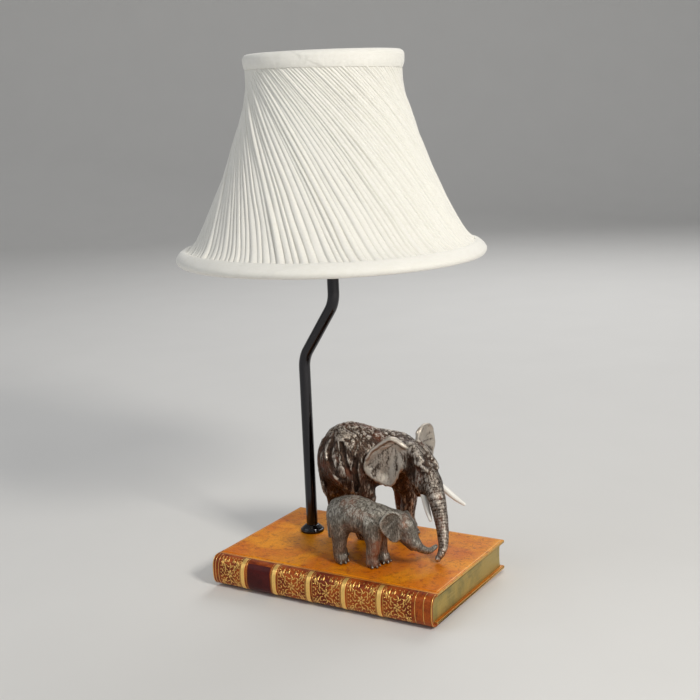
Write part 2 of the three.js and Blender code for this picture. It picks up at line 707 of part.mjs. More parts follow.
const COW_FACE = [[-3, 0, 7, 11], [4, 0, 1, 10.2], [12, 0, -7, 9.8], [18, 0, -14, 9.3]];
const COW_JAW = [[0, 0, -12, 9], [2, 0, -25, 5]];
const RIGHT_TUSK = [[14, -7, -20, 2.8], [16, -7.6, -25, 2.8], [22, -9.5, -35, 2.4], [28, -12.3, -41, 1.3]];
const LEFT_TUSK = [[16, 8, -17, 2.8], [20, 10.5, -20, 2.8], [29, 15.5, -28, 2.4], [36.5, 18.8, -32.7, 1.3]];
const COW_TUSKS = [
  ["tusk_right", cowHead(RIGHT_TUSK)],
  ["tusk_left", cowHead(LEFT_TUSK)],
];
// The trunk hangs to the cover, as [x, y, z, radius] balls in the lamp's frame.
const COW_TRUNK = [
  [88, 7, 78, 7.6],
  [95.5, 1, 58, 5.4],
  [99.5, -5, 43, 4],
  [100, -9, 37, 3.2],
  [98, -12.5, 31.6, 2.7],
];

// Each ear is a plate that stands on a [x, y] point at a heading, with an outline of [along, z] points.
const COW_EAR_THICKNESS = 3;
const COW_NEAR_EAR = {
  at: [57, 13],
  heading: 203.8,
  outline: [
    [-4, 113],
    [0, 118.5],
    [12, 125.5],
    [29, 114.5],
    [36.5, 101],
    [35, 92.5],
    [27, 85.5],
    [19, 81.5],
    [12.5, 81],
    [8, 87],
    [3, 98],
    [-2, 104],
  ],
};
const COW_FAR_EAR = {
  at: [62, 27],
  heading: 88,
  outline: [
    [-5, 108],
    [-3.5, 119],
    [-2, 127],
    [6, 131],
    [15.5, 130.5],
    [22.5, 126.5],
    [26.5, 119],
    [28, 111],
    [26, 101],
    [18, 92],
    [8, 89],
    [0, 93],
    [-4, 100],
  ],
};

const CALF_TORSO = [[0, 0, 40, 13], [10, 0, 41, 15], [20, 0, 40, 14.5], [30, 0, 38, 12.5]];
const CALF_LEGS = [
  [[0, -6, 34, 8.5], [0.8, -7, 20, 6.2], [-1, -7, 9, 5.2], [0, -7, 5, 5.6]],
  [[0, 6, 34, 8.5], [-4, 7, 20, 5.6], [-7, 7, 9, 4.8], [-6, 7, 5, 5.4]],
  [[29, -6, 32, 7.5], [31, -6, 20, 5.8], [29, -6, 9, 4.8], [30, -6, 5, 5.4]],
  [[30, 6, 32, 7.5], [31, 6, 20, 5.6], [31, 6, 9, 4.8], [32, 6, 5, 5.4]],
];
const CALF_TAIL = [[-12, 0, 45, 1.8], [-13.5, -1, 38, 1.5], [-12, -2, 27, 1.4], [-10, -3, 20, 1.7]];
const CALF_NECK_START = [34, 0, 42, 10];
const CALF_FACE = [[-9, 0, 4, 10], [-2, 0, 3, 9.5], [3, 0, -5, 7.5], [8, 0, -11, 5]];
// The calf reaches for its mother's trunk, in the lamp's frame.
const CALF_TRUNK = [
  [91, -29.5, 46, 3.9],
  [94, -24.5, 42.6, 3.1],
  [95, -18.5, 41.3, 2.6],
  [96.2, -11.8, 42.6, 2],
];
const CALF_EAR_THICKNESS = 2.4;
const CALF_EAR_ROOT = [-2, 8.3, 0, 0]; // in the head's frame, on its left
const CALF_EAR_SWEEP = 214; // degrees from the head's own heading
const CALF_EAR = [
  [-3.5, 64],
  [-3, 73],
  [0, 77.5],
  [6, 78.5],
  [12, 75],
  [15.5, 69],
  [14.8, 63.5],
  [11.5, 58],
  [6.5, 53],
  [2.5, 51.8],
  [-1, 54.5],
];

/** A casting cut level with the cover, with clearance for its screws. */
function standing(casting, screws, ...tools) {
  const floor = box(BOOK_X0, 2 * BOOK_X1, 2 * BOOK_FRONT_Y, 2 * BOOK_BACK_Y, 0, FIGURE_FLOOR_Z);
  const holes = screws.map(([, x, y]) => rod(x, y, SCREW_RADIUS + GAP, 0, SCREW_TOP_Z + 1, SCREW_SIDES));
  return cut(casting, floor, ...holes, ...tools);
}

function addCow() {
  const face = cowHead(COW_FACE);
  const ears = [COW_NEAR_EAR, COW_FAR_EAR].map(({ at, heading, outline }) =>
    uprightPlate(...at, heading, outline, COW_EAR_THICKNESS),
  );
  const whole = join(
    limb(cowBody(COW_TORSO), COW_SIDES),
    ...COW_LEGS.map((leg) => limb(cowBody(leg))),
    limb([...cowBody([COW_NECK_START]), ...cowHead([COW_NECK_END])], HEAD_SIDES),
    limb(face, HEAD_SIDES),
    limb(cowHead(COW_JAW)),
    limb([face[face.length - 1], ...COW_TRUNK]),
    limb(cowBody(COW_TAIL), SLIM_SIDES),
    ...ears,
  );
  const sockets = COW_TUSKS.map(([, balls]) => limb(balls.map(([x, y, z, r]) => [x, y, z, r + GAP])));
  piece("cow_elephant", standing(whole, SCREWS.slice(0, 2), ...sockets), 0x4a423c, 0.4, 0.9);
  for (const [name, balls] of COW_TUSKS) piece(name, limb(balls), 0xf2efe6, 0.3);
}

function addCalf() {
  const face = calfHead(CALF_FACE);
  const ears = [-1, 1].map((side) => {
    const [forward, left, up, radius] = CALF_EAR_ROOT;
    const [[x, y]] = calfHead([[forward, left * side, up, radius]]);
    return uprightPlate(x, y, CALF_HEAD_HEADING - CALF_EAR_SWEEP * side, CALF_EAR, CALF_EAR_THICKNESS);
  });
  const whole = join(
    limb(calfBody(CALF_TORSO), CALF_SIDES),
    ...CALF_LEGS.map((leg) => limb(calfBody(leg), SLIM_SIDES)),
    limb([...calfBody([CALF_NECK_START]), face[0]]),
    limb(face),
    limb([face[face.length - 1], ...CALF_TRUNK]),
    limb(calfBody(CALF_TAIL), SLIM_SIDES),
    ...ears,
  );
  piece("calf_elephant", standing(whole, SCREWS.slice(2)), 0x6d655c, 0.45, 0.8);
}

addBook();
addInsideBook();
addStem();
addLampholder();
addBulb();
addShade();
addCow();
addCalf();

export default lamp;
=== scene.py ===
"""Looks for a table lamp: a swirl-pleated shade on a cranked stem, over a leather-bound book with two elephants.

Lengths are millimetres in the row frame, and meshes are scaled to metres as they are made.
"""

import logging
from dataclasses import dataclass, replace
from enum import Enum
from math import cos, pi, radians, sin, sqrt
from typing import Callable, Dict, Iterable, List, Optional, Sequence, Tuple, Union

import bmesh
import bpy
import numpy as np
from mathutils import Matrix, Vector
from numpy import ndarray as Array


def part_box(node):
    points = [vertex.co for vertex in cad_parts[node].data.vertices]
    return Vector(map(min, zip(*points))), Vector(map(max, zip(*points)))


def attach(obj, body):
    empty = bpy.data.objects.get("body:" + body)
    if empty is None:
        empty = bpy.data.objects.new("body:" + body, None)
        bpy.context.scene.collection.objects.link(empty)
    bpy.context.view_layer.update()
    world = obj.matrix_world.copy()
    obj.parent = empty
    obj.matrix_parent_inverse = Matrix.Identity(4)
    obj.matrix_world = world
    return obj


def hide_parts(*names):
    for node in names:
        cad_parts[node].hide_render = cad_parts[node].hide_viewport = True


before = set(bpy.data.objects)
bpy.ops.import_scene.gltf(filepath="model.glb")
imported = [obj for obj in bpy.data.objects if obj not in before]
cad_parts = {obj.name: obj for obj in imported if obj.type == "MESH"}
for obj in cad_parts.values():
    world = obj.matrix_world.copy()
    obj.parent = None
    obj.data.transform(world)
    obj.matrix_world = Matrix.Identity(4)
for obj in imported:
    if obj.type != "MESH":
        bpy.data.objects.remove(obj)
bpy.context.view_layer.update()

MM = 0.001
LOG = logging.getLogger("lamp")
FAR = 1000.0
WORD = 0xFFFFFFFF

FULL = 2 * pi
Pair = Tuple[float, float]
Colour = Tuple[float, float, float]
Ball = Tuple[float, float, float, float]
Row = Tuple[Ball, ...]
Shape = Tuple[Array, List[List[int]]]
Piece = bpy.types.Object
Socket = bpy.types.NodeSocket
Sockets = Dict[str, Socket]
Feed = Union[Socket, float, Sequence[float]]
Feeds = Dict[Union[str, int], Feed]


# ---------- Arrays and meshes ----------


def unit(v: Array) -> Array:
    """Vectors along the last axis, at length one."""
    return v / np.maximum(np.linalg.norm(v, axis=-1, keepdims=True), 1e-12)


def smoothstep(low: float, high: float, x: Array) -> Array:
    """A soft step from 0 at low to 1 at high."""
    t = np.clip((x - low) / (high - low), 0.0, 1.0)
    return t * t * (3.0 - 2.0 * t)


def stacked(*parts: Union[float, Array]) -> Array:
    """Coordinates of one shape, stacked along a new last axis."""
    return np.stack(np.broadcast_arrays(*parts), axis=-1)


def lattice(cells: Array, seed: int) -> Array:
    """A fixed pseudo-random number from 0 to 1 for each whole-numbered cell.

    Args:
        cells: whole x, y and z along the last axis.
        seed: which set of numbers.

    Returns:
        One number per cell.
    """
    c = cells.astype(np.int64)
    h = c[..., 0] * 374761393 + c[..., 1] * 668265263 + c[..., 2] * 1442695041 + seed * 974634777
    h = (h ^ (h >> 13)) & WORD
    h = (h * 1274126177) & WORD
    h = (h ^ (h >> 16)) & WORD
    return h / float(WORD)


def cloudy(points: Array, seed: int = 0, octaves: int = 1) -> Array:
    """Smooth noise from -1 to 1 with features about one unit across.

    Args:
        points: x, y and z along the last axis.
        seed: which noise.
        octaves: how many layers, each finer.

    Returns:
        One value per place.
    """
    total, weight = 0.0, 0.0
    for k in range(octaves):
        p = points * (2.0**k) + 17.3 * k
        cell = np.floor(p)
        f = p - cell
        f = f * f * (3.0 - 2.0 * f)
        value = 0.0
        for corner in np.ndindex(2, 2, 2):
            share = np.prod(np.where(np.array(corner) == 1, f, 1.0 - f), axis=-1)
            value = value + share * lattice(cell + np.array(corner), seed + k)
        total = total + (value * 2.0 - 1.0) * 0.5**k
        weight += 0.5**k
    return total / weight


def cracks(points: Array, seed: int = 0) -> Array:
    """How far each place is from the edges of a mesh of random cells, 0 at an edge.

    Args:
        points: x, y and z along the last axis, in cell widths.
        seed: which cells.

    Returns:
        The gap between the two nearest cell centres.
    """
    base = np.floor(points)
    first = np.full(points.shape[:-1], 9.0)
    second = np.full(points.shape[:-1], 9.0)
    for step in np.ndindex(3, 3, 3):
        cell = base + (np.array(step) - 1)
        centre = cell + np.stack([lattice(cell, seed + k) for k in (1, 2, 3)], axis=-1)
        gap = np.linalg.norm(points - centre, axis=-1)
        second = np.minimum(second, np.maximum(first, gap))
        first = np.minimum(first, gap)
    return second - first


def grid_faces(rows: int, columns: int, wrap_rows: bool = False, wrap_columns: bool = False) -> Array:
    """The four-sided faces of a grid of points stored row by row.

    Args:
        rows: points along the first direction.
        columns: points along the second direction.
        wrap_rows: joins the last row to the first.
        wrap_columns: joins the last column to the first.

    Returns:
        Four point numbers for each face.
    """
    r = np.arange(rows if wrap_rows else rows - 1)[:, None]
    c = np.arange(columns if wrap_columns else columns - 1)[None, :]
    r2, c2 = (r + 1) % rows, (c + 1) % columns
    corners = [r * columns + c, r * columns + c2, r2 * columns + c2, r2 * columns + c]
    return np.stack([x.ravel() for x in np.broadcast_arrays(*corners)], axis=1)


def capped(rings: Array) -> Shape:
    """Rings of points, stacked one after the other, as a bar closed at both ends."""
    count, n = rings.shape[:2]
    faces = [list(f) for f in grid_faces(count, n, False, True)]
    return rings.reshape(-1, 3), [*faces, list(range(n)), list(range((count - 1) * n, count * n))]


def make_mesh(name: str, points: Array, faces: Iterable[Sequence[int]], closed: bool = True,
        sharp: Optional[float] = None) -> Piece:
    """Makes a smooth-shaded object from points and faces.

    Args:
        name: the piece's name.
        points: places in millimetres.
        faces: point numbers of each face.
        closed: turns every face outwards, and merges points that meet.
        sharp: angle in degrees over which an edge stays sharp.

    Returns:
        The new object, linked to the scene.
    """
    mesh = bpy.data.meshes.new(name)
    mesh.from_pydata((np.asarray(points, float) * MM).tolist(), [], [list(f) for f in faces])
    if closed:
        shape = bmesh.new()
        shape.from_mesh(mesh)
        bmesh.ops.remove_doubles(shape, verts=shape.verts, dist=2e-6)
        bmesh.ops.recalc_face_normals(shape, faces=shape.faces)
        shape.to_mesh(mesh)
        shape.free()
    mesh.polygons.foreach_set("use_smooth", [True] * len(mesh.polygons))
    if sharp is not None:
        mesh.set_sharp_from_angle(angle=radians(sharp))
    mesh.update()
    piece = bpy.data.objects.new(name, mesh)
    bpy.context.scene.collection.objects.link(piece)
    return piece


def joined(parts: Sequence[Tuple[Array, Sequence]]) -> Shape:
    """Several sets of points and faces as one set."""
    points, faces, base = [], [], 0
    for some_points, some_faces in parts:
        points.append(np.asarray(some_points, float))
        faces += [[int(i) + base for i in f] for f in some_faces]
        base += len(some_points)
    return np.concatenate(points), faces


def rounded(corners: Sequence[Colour], steps: int = 4, loop: bool = True) -> Array:
    """A flat outline with its corners rounded.

    Args:
        corners: two coordinates each, and the length that the rounding takes up.
        steps: points along each rounding.
        loop: the outline closes on itself.

    Returns:
        Points of two coordinates.
    """
    places = np.array([c[:2] for c in corners], float)
    made = []
    for i, (place, corner) in enumerate(zip(places, corners)):
        if corner[2] <= 0 or (not loop and i in (0, len(places) - 1)):
            made.append(place[None])
            continue
        before = place + unit(places[i - 1] - place) * corner[2]
        after = place + unit(places[(i + 1) % len(places)] - place) * corner[2]
        t = np.linspace(0.0, 1.0, steps + 1)[:, None]
        made.append((1 - t) ** 2 * before + 2 * t * (1 - t) * place + t**2 * after)
    return np.concatenate(made)


def lathe(
    profile: Array, sides: int, centre: Pair = (0.0, 0.0)
) -> Tuple[Array, Array]:
    """A closed outline of [radius, height] points turned about an upright axis.

    Args:
        profile: the outline, which closes on itself.
        sides: steps round the axis.
        centre: where the axis stands.

    Returns:
        Points and faces.
    """
    angle = np.arange(sides)[:, None] * (FULL / sides)
    radius, height = profile[None, :, 0], profile[None, :, 1]
    x = centre[0] + radius * np.cos(angle)
    y = centre[1] + radius * np.sin(angle)
    points = np.stack([x, y, height + 0 * angle], axis=-1).reshape(-1, 3)
    return points, grid_faces(sides, len(profile), True, True)


def catmull(knots: Array, per_span: int) -> Array:
    """A smooth curve through knots, with per_span steps between each two."""
    k = np.concatenate([[2 * knots[0] - knots[1]], knots, [2 * knots[-1] - knots[-2]]])
    t = (np.arange(per_span) / per_span)[:, None]
    spans = []
    for i in range(len(knots) - 1):
        a, b, c, d = k[i : i + 4]
        cubic = (3 * b - a - 3 * c + d) * t**3
        spans.append(0.5 * (2 * b + (c - a) * t + (2 * a - 5 * b + 4 * c - d) * t**2 + cubic))
    return np.concatenate([*spans, knots[-1:]])


def sideways(path: Array) -> Tuple[Array, Array]:
    """Two crosswise directions at each point of a path, turned as little as possible along it."""
    along = unit(np.gradient(path, axis=0))
    start = np.array([0.0, 0.0, 1.0]) if abs(along[0, 2]) < 0.9 else np.array([1.0, 0.0, 0.0])
    first = [unit(start - along[0] * (start @ along[0]))]
    for direction in along[1:]:
        kept = first[-1] - direction * (first[-1] @ direction)
        first.append(unit(kept))
    across = np.array(first)
    return across, np.cross(along, across)


def tube(path: Array, radius: Union[float, Array], sides: int) -> Shape:
    """A round bar along a path, closed at both ends.

    Args:
        path: points along the middle.
        radius: one radius, or one for each point.
        sides: steps round the bar.

    Returns:
        Points and faces.
    """
    across, other = sideways(path)
    angle = np.arange(sides) * (FULL / sides)
    spread = across[:, None] * np.cos(angle)[None, :, None] + other[:, None] * np.sin(angle)[None, :, None]
    width = np.broadcast_to(np.asarray(radius, float), (len(path),))
    return capped(path[:, None] + spread * width[:, None, None])


def domed(path: Array, radius: float, sides: int) -> Shape:
    """A round bar along a path, with its ends eased over."""
    turn = np.array([0.05, 0.45, 0.8])
    width = radius * np.concatenate([turn, np.ones(len(path)), turn[::-1]])
    lead, trail = unit(path[1] - path[0]), unit(path[-1] - path[-2])
    step = radius * np.array([0.0, 0.1, 0.35])[:, None]
    start, head = path[0] + lead * step, path[0] + lead * radius * 0.8
    finish, tail = path[-1] - trail * step[::-1], path[-1] - trail * radius * 0.8
    return tube(np.concatenate([start, [head], path[1:-1], [tail], finish]), width, sides)


# ---------- Shader trees ----------


class Sheet:
    """A node tree being filled in, with short calls for the nodes that the finishes use."""

    def __init__(self, tree: bpy.types.NodeTree) -> None:
        """Keeps the tree to fill."""
        self.tree = tree

    def node(self, kind: str, feeds: Optional[Feeds] = None, **settings: object) -> bpy.types.Node:
        """Adds a node.

        Args:
            kind: its name in Blender after ShaderNode.
            feeds: sockets or plain values for its inputs.
            **settings: properties of the node.

        Returns:
            The new node.
        """
        made = self.tree.nodes.new("ShaderNode" + kind)
        for key, value in settings.items():
            setattr(made, key, value)
        for key, value in (feeds or {}).items():
            self.feed(made.inputs[key], value)
        return made

    def feed(self, into: Socket, value: Feed) -> None:
        """Links a socket, or sets a plain value."""
        if isinstance(value, Socket):
            self.tree.links.new(value, into)
        elif into.type == "RGBA" and not isinstance(value, (int, float)) and len(value) == 3:
            into.default_value = (*value, 1.0)
        else:
            into.default_value = value

    def math(self, operation: str, a: Feed, b: Feed = 0.0, c: Feed = 0.0) -> Socket:
        """The result of a sum on up to three numbers."""
        return self.node("Math", {0: a, 1: b, 2: c}, operation=operation).outputs[0]

    def times(self, a: Feed, b: Feed) -> Socket:
        """The product of two numbers."""
        return self.math("MULTIPLY", a, b)

    def plus(self, a: Feed, b: Feed) -> Socket:
        """The sum of two numbers."""
        return self.math("ADD", a, b)

    def scaled(self, a: Feed, by: Feed, plus: Feed) -> Socket:
        """A number scaled, and then moved."""
        return self.math("MULTIPLY_ADD", a, by, plus)

    def span(self, value: Feed, low: float, high: float, to_low: float = 0.0, to_high: float = 1.0) -> Socket:
        """A value carried from one range to another, softly and within it."""
        feeds = {"Value": value, "From Min": low, "From Max": high, "To Min": to_low, "To Max": to_high}
        return self.node("MapRange", feeds, interpolation_type="SMOOTHSTEP").outputs[0]

    def mix(self, share: Feed, a: Feed, b: Feed) -> Socket:
        """Two colours mixed."""
        return self.node("Mix", {0: share, 6: a, 7: b}, data_type="RGBA").outputs[2]

    def noise(self, place: Feed, scale: Feed, detail: float = 3.0, rough: float = 0.5, warp: float = 0.0) -> Socket:
        """Cloudy noise at a place, from 0 to 1."""
        feeds = {"Vector": place, "Scale": scale, "Detail": detail, "Roughness": rough, "Distortion": warp}
        return self.node("TexNoise", feeds).outputs[0]

    def cells(self, place: Feed, scale: Feed, feature: str = "F1") -> Socket:
        """A mesh of random cells at a place."""
        return self.node("TexVoronoi", {"Vector": place, "Scale": scale}, feature=feature).outputs["Distance"]

    def stretched(self, place: Feed, by: Sequence[float]) -> Socket:
        """A place with its axes stretched."""
        return self.node("VectorMath", {0: place, 1: by}, operation="MULTIPLY").outputs[0]

    def parts(self, place: Feed) -> Tuple[Socket, Socket, Socket]:
        """The x, y and z of a place."""
        return tuple(self.node("SeparateXYZ", {0: place}).outputs)

    def bump(self, height: Feed, strength: float, distance: float, under: Optional[Socket] = None) -> Socket:
        """A normal from a height."""
        feeds = {"Height": height, "Strength": strength, "Distance": distance}
        if under is not None:
            feeds["Normal"] = under
        return self.node("Bump", feeds).outputs[0]

    def effect(self, which: "Effect", **feeds: Feed) -> bpy.types.bpy_prop_collection:
        """Places a shared effect, and gives its outputs."""
        made = self.node("Group")
        made.node_tree = which.tree()
        for key, value in feeds.items():
            self.feed(made.inputs[key], value)
        return made.outputs

    @property
    def place(self) -> Socket:
        """Where the surface is, in metres in the row frame."""
        return self.node("TexCoord").outputs["Object"]


@dataclass(frozen=True)
class Effect:
    """A shader effect that several finishes share: one node group, which takes a place and gives numbers."""

    name: str
    takes: Dict[str, float]
    gives: Tuple[str, ...]
    fill: Callable[[Sheet, Sockets], Sockets]

    def tree(self) -> bpy.types.NodeTree:
        """The node group, built the first time that it is asked for."""
        found = bpy.data.node_groups.get(self.name)
        if found is not None:
            return found
        group = bpy.data.node_groups.new(self.name, "ShaderNodeTree")
        group.interface.new_socket("Place", in_out="INPUT", socket_type="NodeSocketVector")
        for name, value in self.takes.items():
            made = group.interface.new_socket(name, in_out="INPUT", socket_type="NodeSocketFloat")
            made.default_value = value
        for name in self.gives:
            group.interface.new_socket(name, in_out="OUTPUT", socket_type="NodeSocketFloat")
        enter = group.nodes.new("NodeGroupInput")
        leave = group.nodes.new("NodeGroupOutput")
        taken = {s.name: s for s in enter.outputs if s.name}
        for name, value in self.fill(Sheet(group), taken).items():
            group.links.new(value, leave.inputs[name])
        return group


# ---------- Shared effects ----------


def fill_grain(sheet: Sheet, take: Sockets) -> Sockets:
    """Leather grain: fine cells with pores, and broader tension."""
    place = take["Place"]
    fine = sheet.cells(place, take["Scale"], "DISTANCE_TO_EDGE")
    plate = sheet.span(fine, 0.0, 0.22)
    pores = sheet.span(sheet.cells(place, sheet.times(take["Scale"], 0.37)), 0.05, 0.2)
    broad = sheet.noise(place, sheet.times(take["Scale"], 0.12), 4.0)
    height = sheet.times(plate, 0.5)
    height = sheet.plus(height, sheet.times(pores, 0.35))
    height = sheet.plus(height, sheet.times(broad, 0.4))
    return {"Height": height, "Pores": sheet.math("SUBTRACT", 1.0, pores)}


def fill_marbling(sheet: Sheet, take: Sockets) -> Sockets:
    """Marbled dye: large clouds, smaller blots and a fine speckle."""
    place = take["Place"]
    scale = take["Scale"]
    cloud = sheet.span(sheet.noise(place, scale, 5.0, 0.62, 0.6), 0.38, 0.66)
    blots = sheet.span(sheet.noise(place, sheet.times(scale, 9.0), 5.0, 0.72, 0.6), 0.48, 0.68)
    speckle = sheet.span(sheet.noise(place, sheet.times(scale, 34.0), 3.0, 0.7), 0.5, 0.7)
    return {"Cloud": cloud, "Blots": blots, "Speckle": speckle}


def fill_weave(sheet: Sheet, take: Sockets) -> Sockets:
    """Plain weave: threads that cross round and up the shade, with slubs."""
    x, y, z = sheet.parts(take["Place"])
    turns = sheet.math("DIVIDE", FULL, take["Pitch"])
    round_it = sheet.times(sheet.math("ARCTAN2", y, x), take["Radius"])
    warp = sheet.math("SINE", sheet.times(round_it, turns))
    weft = sheet.math("SINE", sheet.times(z, turns))
    slub = sheet.noise(sheet.stretched(take["Place"], (1.0, 1.0, 9.0)), 260.0, 2.0)
    height = sheet.plus(sheet.times(warp, weft), sheet.times(slub, 1.4))
    return {"Height": sheet.scaled(height, 0.25, 0.4), "Slubs": sheet.span(slub, 0.35, 0.7)}


def fill_wear_and_light(sheet: Sheet, take: Sockets) -> Sockets:
    """Rubbed high points, with painted highlights and painted shade carried in its input: a mask that noise breaks
    up.
    """
    broken = sheet.noise(take["Place"], take["Scale"], 6.0, 0.68)
    edge = sheet.plus(take["Rub"], sheet.scaled(broken, 0.5, -0.25))
    return {"Mask": sheet.span(edge, 0.36, 0.84), "Patches": sheet.span(broken, 0.35, 0.65)}


def fill_handling(sheet: Sheet, take: Sockets) -> Sockets:
    """Faint smears and dust on a smooth surface."""
    smear = sheet.noise(sheet.stretched(take["Place"], (1.0, 1.0, 0.25)), take["Scale"], 5.0, 0.6, 0.8)
    dust = sheet.noise(take["Place"], sheet.times(take["Scale"], 14.0), 3.0, 0.7)
    rough = sheet.plus(take["Roughness"], sheet.times(sheet.span(smear, 0.4, 0.7), 0.09))
    rough = sheet.plus(rough, sheet.times(sheet.span(dust, 0.55, 0.8), 0.06))
    return {"Roughness": rough, "Dust": sheet.span(dust, 0.6, 0.85)}


def fill_fillet(sheet: Sheet, take: Sockets) -> Sockets:
    """A gilt line of a stated width at a stated distance, worn through here and there."""
    off = sheet.math("ABSOLUTE", sheet.math("SUBTRACT", take["Distance"], take["At"]))
    half = sheet.times(take["Width"], 0.5)
    line = sheet.math("LESS_THAN", off, half)
    worn = sheet.span(sheet.noise(take["Place"], 900.0, 3.0, 0.7), 0.28, 0.42)
    return {"Mask": sheet.times(line, worn)}


GRAIN = Effect("Leather grain", {"Scale": 1400.0}, ("Height", "Pores"), fill_grain)
MARBLING = Effect("Marbled dye", {"Scale": 20.0}, ("Cloud", "Blots", "Speckle"), fill_marbling)
WEAVE = Effect("Plain weave", {"Pitch": 0.0006, "Radius": 0.1}, ("Height", "Slubs"), fill_weave)
WEAR_AND_LIGHT = Effect("Rubbed high points", {"Rub": 0.5, "Scale": 300.0}, ("Mask", "Patches"), fill_wear_and_light)
HANDLING = Effect("Handling marks", {"Scale": 30.0, "Roughness": 0.2}, ("Roughness", "Dust"), fill_handling)
FILLET = Effect("Gilt fillet", {"Distance": 0.0, "At": 0.003, "Width": 0.0004}, ("Mask",), fill_fillet)


# ---------- Finishes ----------


@dataclass(frozen=True)
class Finish:
    """What every finish has: its name, and what feeds its shader."""

    name: str

    def looks(self, sheet: Sheet) -> Feeds:
        """What feeds the shader. Each finish gives its own."""
        raise NotImplementedError

    def material(self) -> bpy.types.Material:
        """The material, built the first time that it is asked for."""
        found = bpy.data.materials.get(self.name)
        if found is not None:
            return found
        made = bpy.data.materials.new(self.name)
        made.use_nodes = True
        made.node_tree.nodes.clear()
        sheet = Sheet(made.node_tree)
        shader = sheet.node("BsdfPrincipled", self.looks(sheet))
        sheet.node("OutputMaterial", {0: shader.outputs[0]})
        return made


@dataclass(frozen=True)
class Leather(Finish):
    """Glazed calfskin, dyed and marbled."""

    light: Colour
    middle: Colour
    dark: Colour
    fillets: Tuple[Pair, ...] = ()
    panel: Optional[Ball] = None
    rim: float = 0.0
    gold: Colour = (0.8, 0.5, 0.16)
    cloud_scale: float = 22.0

    def gilding(self, sheet: Sheet, place: Socket) -> Optional[Socket]:
        """The mask of the gilt lines that run round the board."""
        if self.panel is None:
            return None
        x, y, _ = sheet.parts(place)
        x0, x1, y0, y1 = (v * MM for v in self.panel)
        ends = sheet.math("MINIMUM", sheet.math("SUBTRACT", x, x0), sheet.math("SUBTRACT", x1, x))
        sides = sheet.math("MINIMUM", sheet.math("SUBTRACT", y, y0), sheet.math("SUBTRACT", y1, y))
        inside = sheet.math("MINIMUM", ends, sides)
        mask = None
        for at, width in self.fillets:
            line = sheet.effect(FILLET, Place=place, Distance=inside, At=at * MM, Width=width * MM)["Mask"]
            mask = line if mask is None else sheet.math("MAXIMUM", mask, line)
        if self.rim:
            edge = sheet.span(inside, self.rim * MM, 0.25 * self.rim * MM)
            broken = sheet.span(sheet.noise(place, 420.0, 3.0, 0.6), 0.25, 0.5)
            mask = sheet.math("MAXIMUM", mask, sheet.times(edge, broken))
        return mask

    def looks(self, sheet: Sheet) -> Feeds:
        """Marbled colour, grain, and gilt lines."""
        place = sheet.place
        dye = sheet.effect(MARBLING, Place=place, Scale=self.cloud_scale)
        grain = sheet.effect(GRAIN, Place=place, Scale=1500.0)
        colour = sheet.mix(dye["Cloud"], self.light, self.middle)
        colour = sheet.mix(sheet.times(dye["Blots"], 0.62), colour, self.dark)
        colour = sheet.mix(sheet.times(dye["Speckle"], 0.45), colour, self.dark)
        colour = sheet.mix(sheet.times(grain["Pores"], 0.25), colour, self.dark)
        rough = sheet.effect(HANDLING, Place=place, Scale=26.0, Roughness=0.36)["Roughness"]
        rough = sheet.plus(rough, sheet.times(grain["Pores"], 0.12))
        normal = sheet.bump(grain["Height"], 0.35, 0.00012)
        feeds: Feeds = {"Coat Weight": 0.06, "Coat Roughness": 0.12, "Specular IOR Level": 0.14}
        lines = self.gilding(sheet, place)
        if lines is not None:
            colour = sheet.mix(lines, colour, self.gold)
            rough = sheet.plus(rough, sheet.times(lines, -0.02))
            normal = sheet.bump(sheet.math("SUBTRACT", 1.0, lines), 0.5, 0.00008, normal)
            feeds["Metallic"] = sheet.times(lines, 0.85)
        return {**feeds, "Base Color": colour, "Roughness": rough, "Normal": normal}


@dataclass(frozen=True)
class Gilding(Finish):
    """Gold leaf pressed into leather or burnished on paper."""

    bright: Colour = (0.9, 0.62, 0.22)
    dull: Colour = (0.42, 0.23, 0.07)
    rough: float = 0.3

    def looks(self, sheet: Sheet) -> Feeds:
        """Gold with worn patches and tiny dents."""
        place = sheet.place
        worn = sheet.span(sheet.noise(place, 700.0, 5.0, 0.7), 0.5, 0.72)
        dents = sheet.noise(place, 2600.0, 2.0)
        return {"Base Color": sheet.mix(sheet.times(worn, 0.6), self.bright, self.dull),
            "Metallic": sheet.scaled(worn, -0.4, 0.95), "Roughness": sheet.scaled(worn, 0.25, self.rough),
            "Normal": sheet.bump(dents, 0.4, 0.00006)}


@dataclass(frozen=True)
class GiltEdges(Finish):
    """The edges of many leaves under old, toned gilding."""

    gold: Colour = (0.48, 0.35, 0.1)
    olive: Colour = (0.2, 0.17, 0.05)
    paper: Colour = (0.62, 0.45, 0.17)
    leaf: float = 0.00016

    def looks(self, sheet: Sheet) -> Feeds:
        """Leaf lines, toning and rubbed gold."""
        place = sheet.place
        z = sheet.parts(place)[2]
        drift = sheet.noise(sheet.stretched(place, (1.0, 1.0, 30.0)), 14.0, 3.0)
        height = sheet.plus(z, sheet.times(drift, 0.0008))
        leaves = sheet.math("SINE", sheet.times(height, FULL / self.leaf / 2.0))
        bundles = sheet.noise(sheet.stretched(place, (0.5, 0.5, 26.0)), 42.0, 5.0, 0.7)
        tone = sheet.span(sheet.noise(place, 38.0, 4.0, 0.6, 0.5), 0.35, 0.68)
        colour = sheet.mix(tone, self.gold, self.olive)
        colour = sheet.mix(sheet.times(sheet.span(bundles, 0.52, 0.72), 0.7), colour, self.paper)
        relief = sheet.plus(sheet.times(leaves, 0.4), sheet.times(bundles, 1.6))
        return {"Base Color": colour, "Metallic": sheet.scaled(tone, -0.3, 0.65),
            "Roughness": sheet.scaled(bundles, 0.3, 0.28), "Normal": sheet.bump(relief, 0.5, 0.0001)}


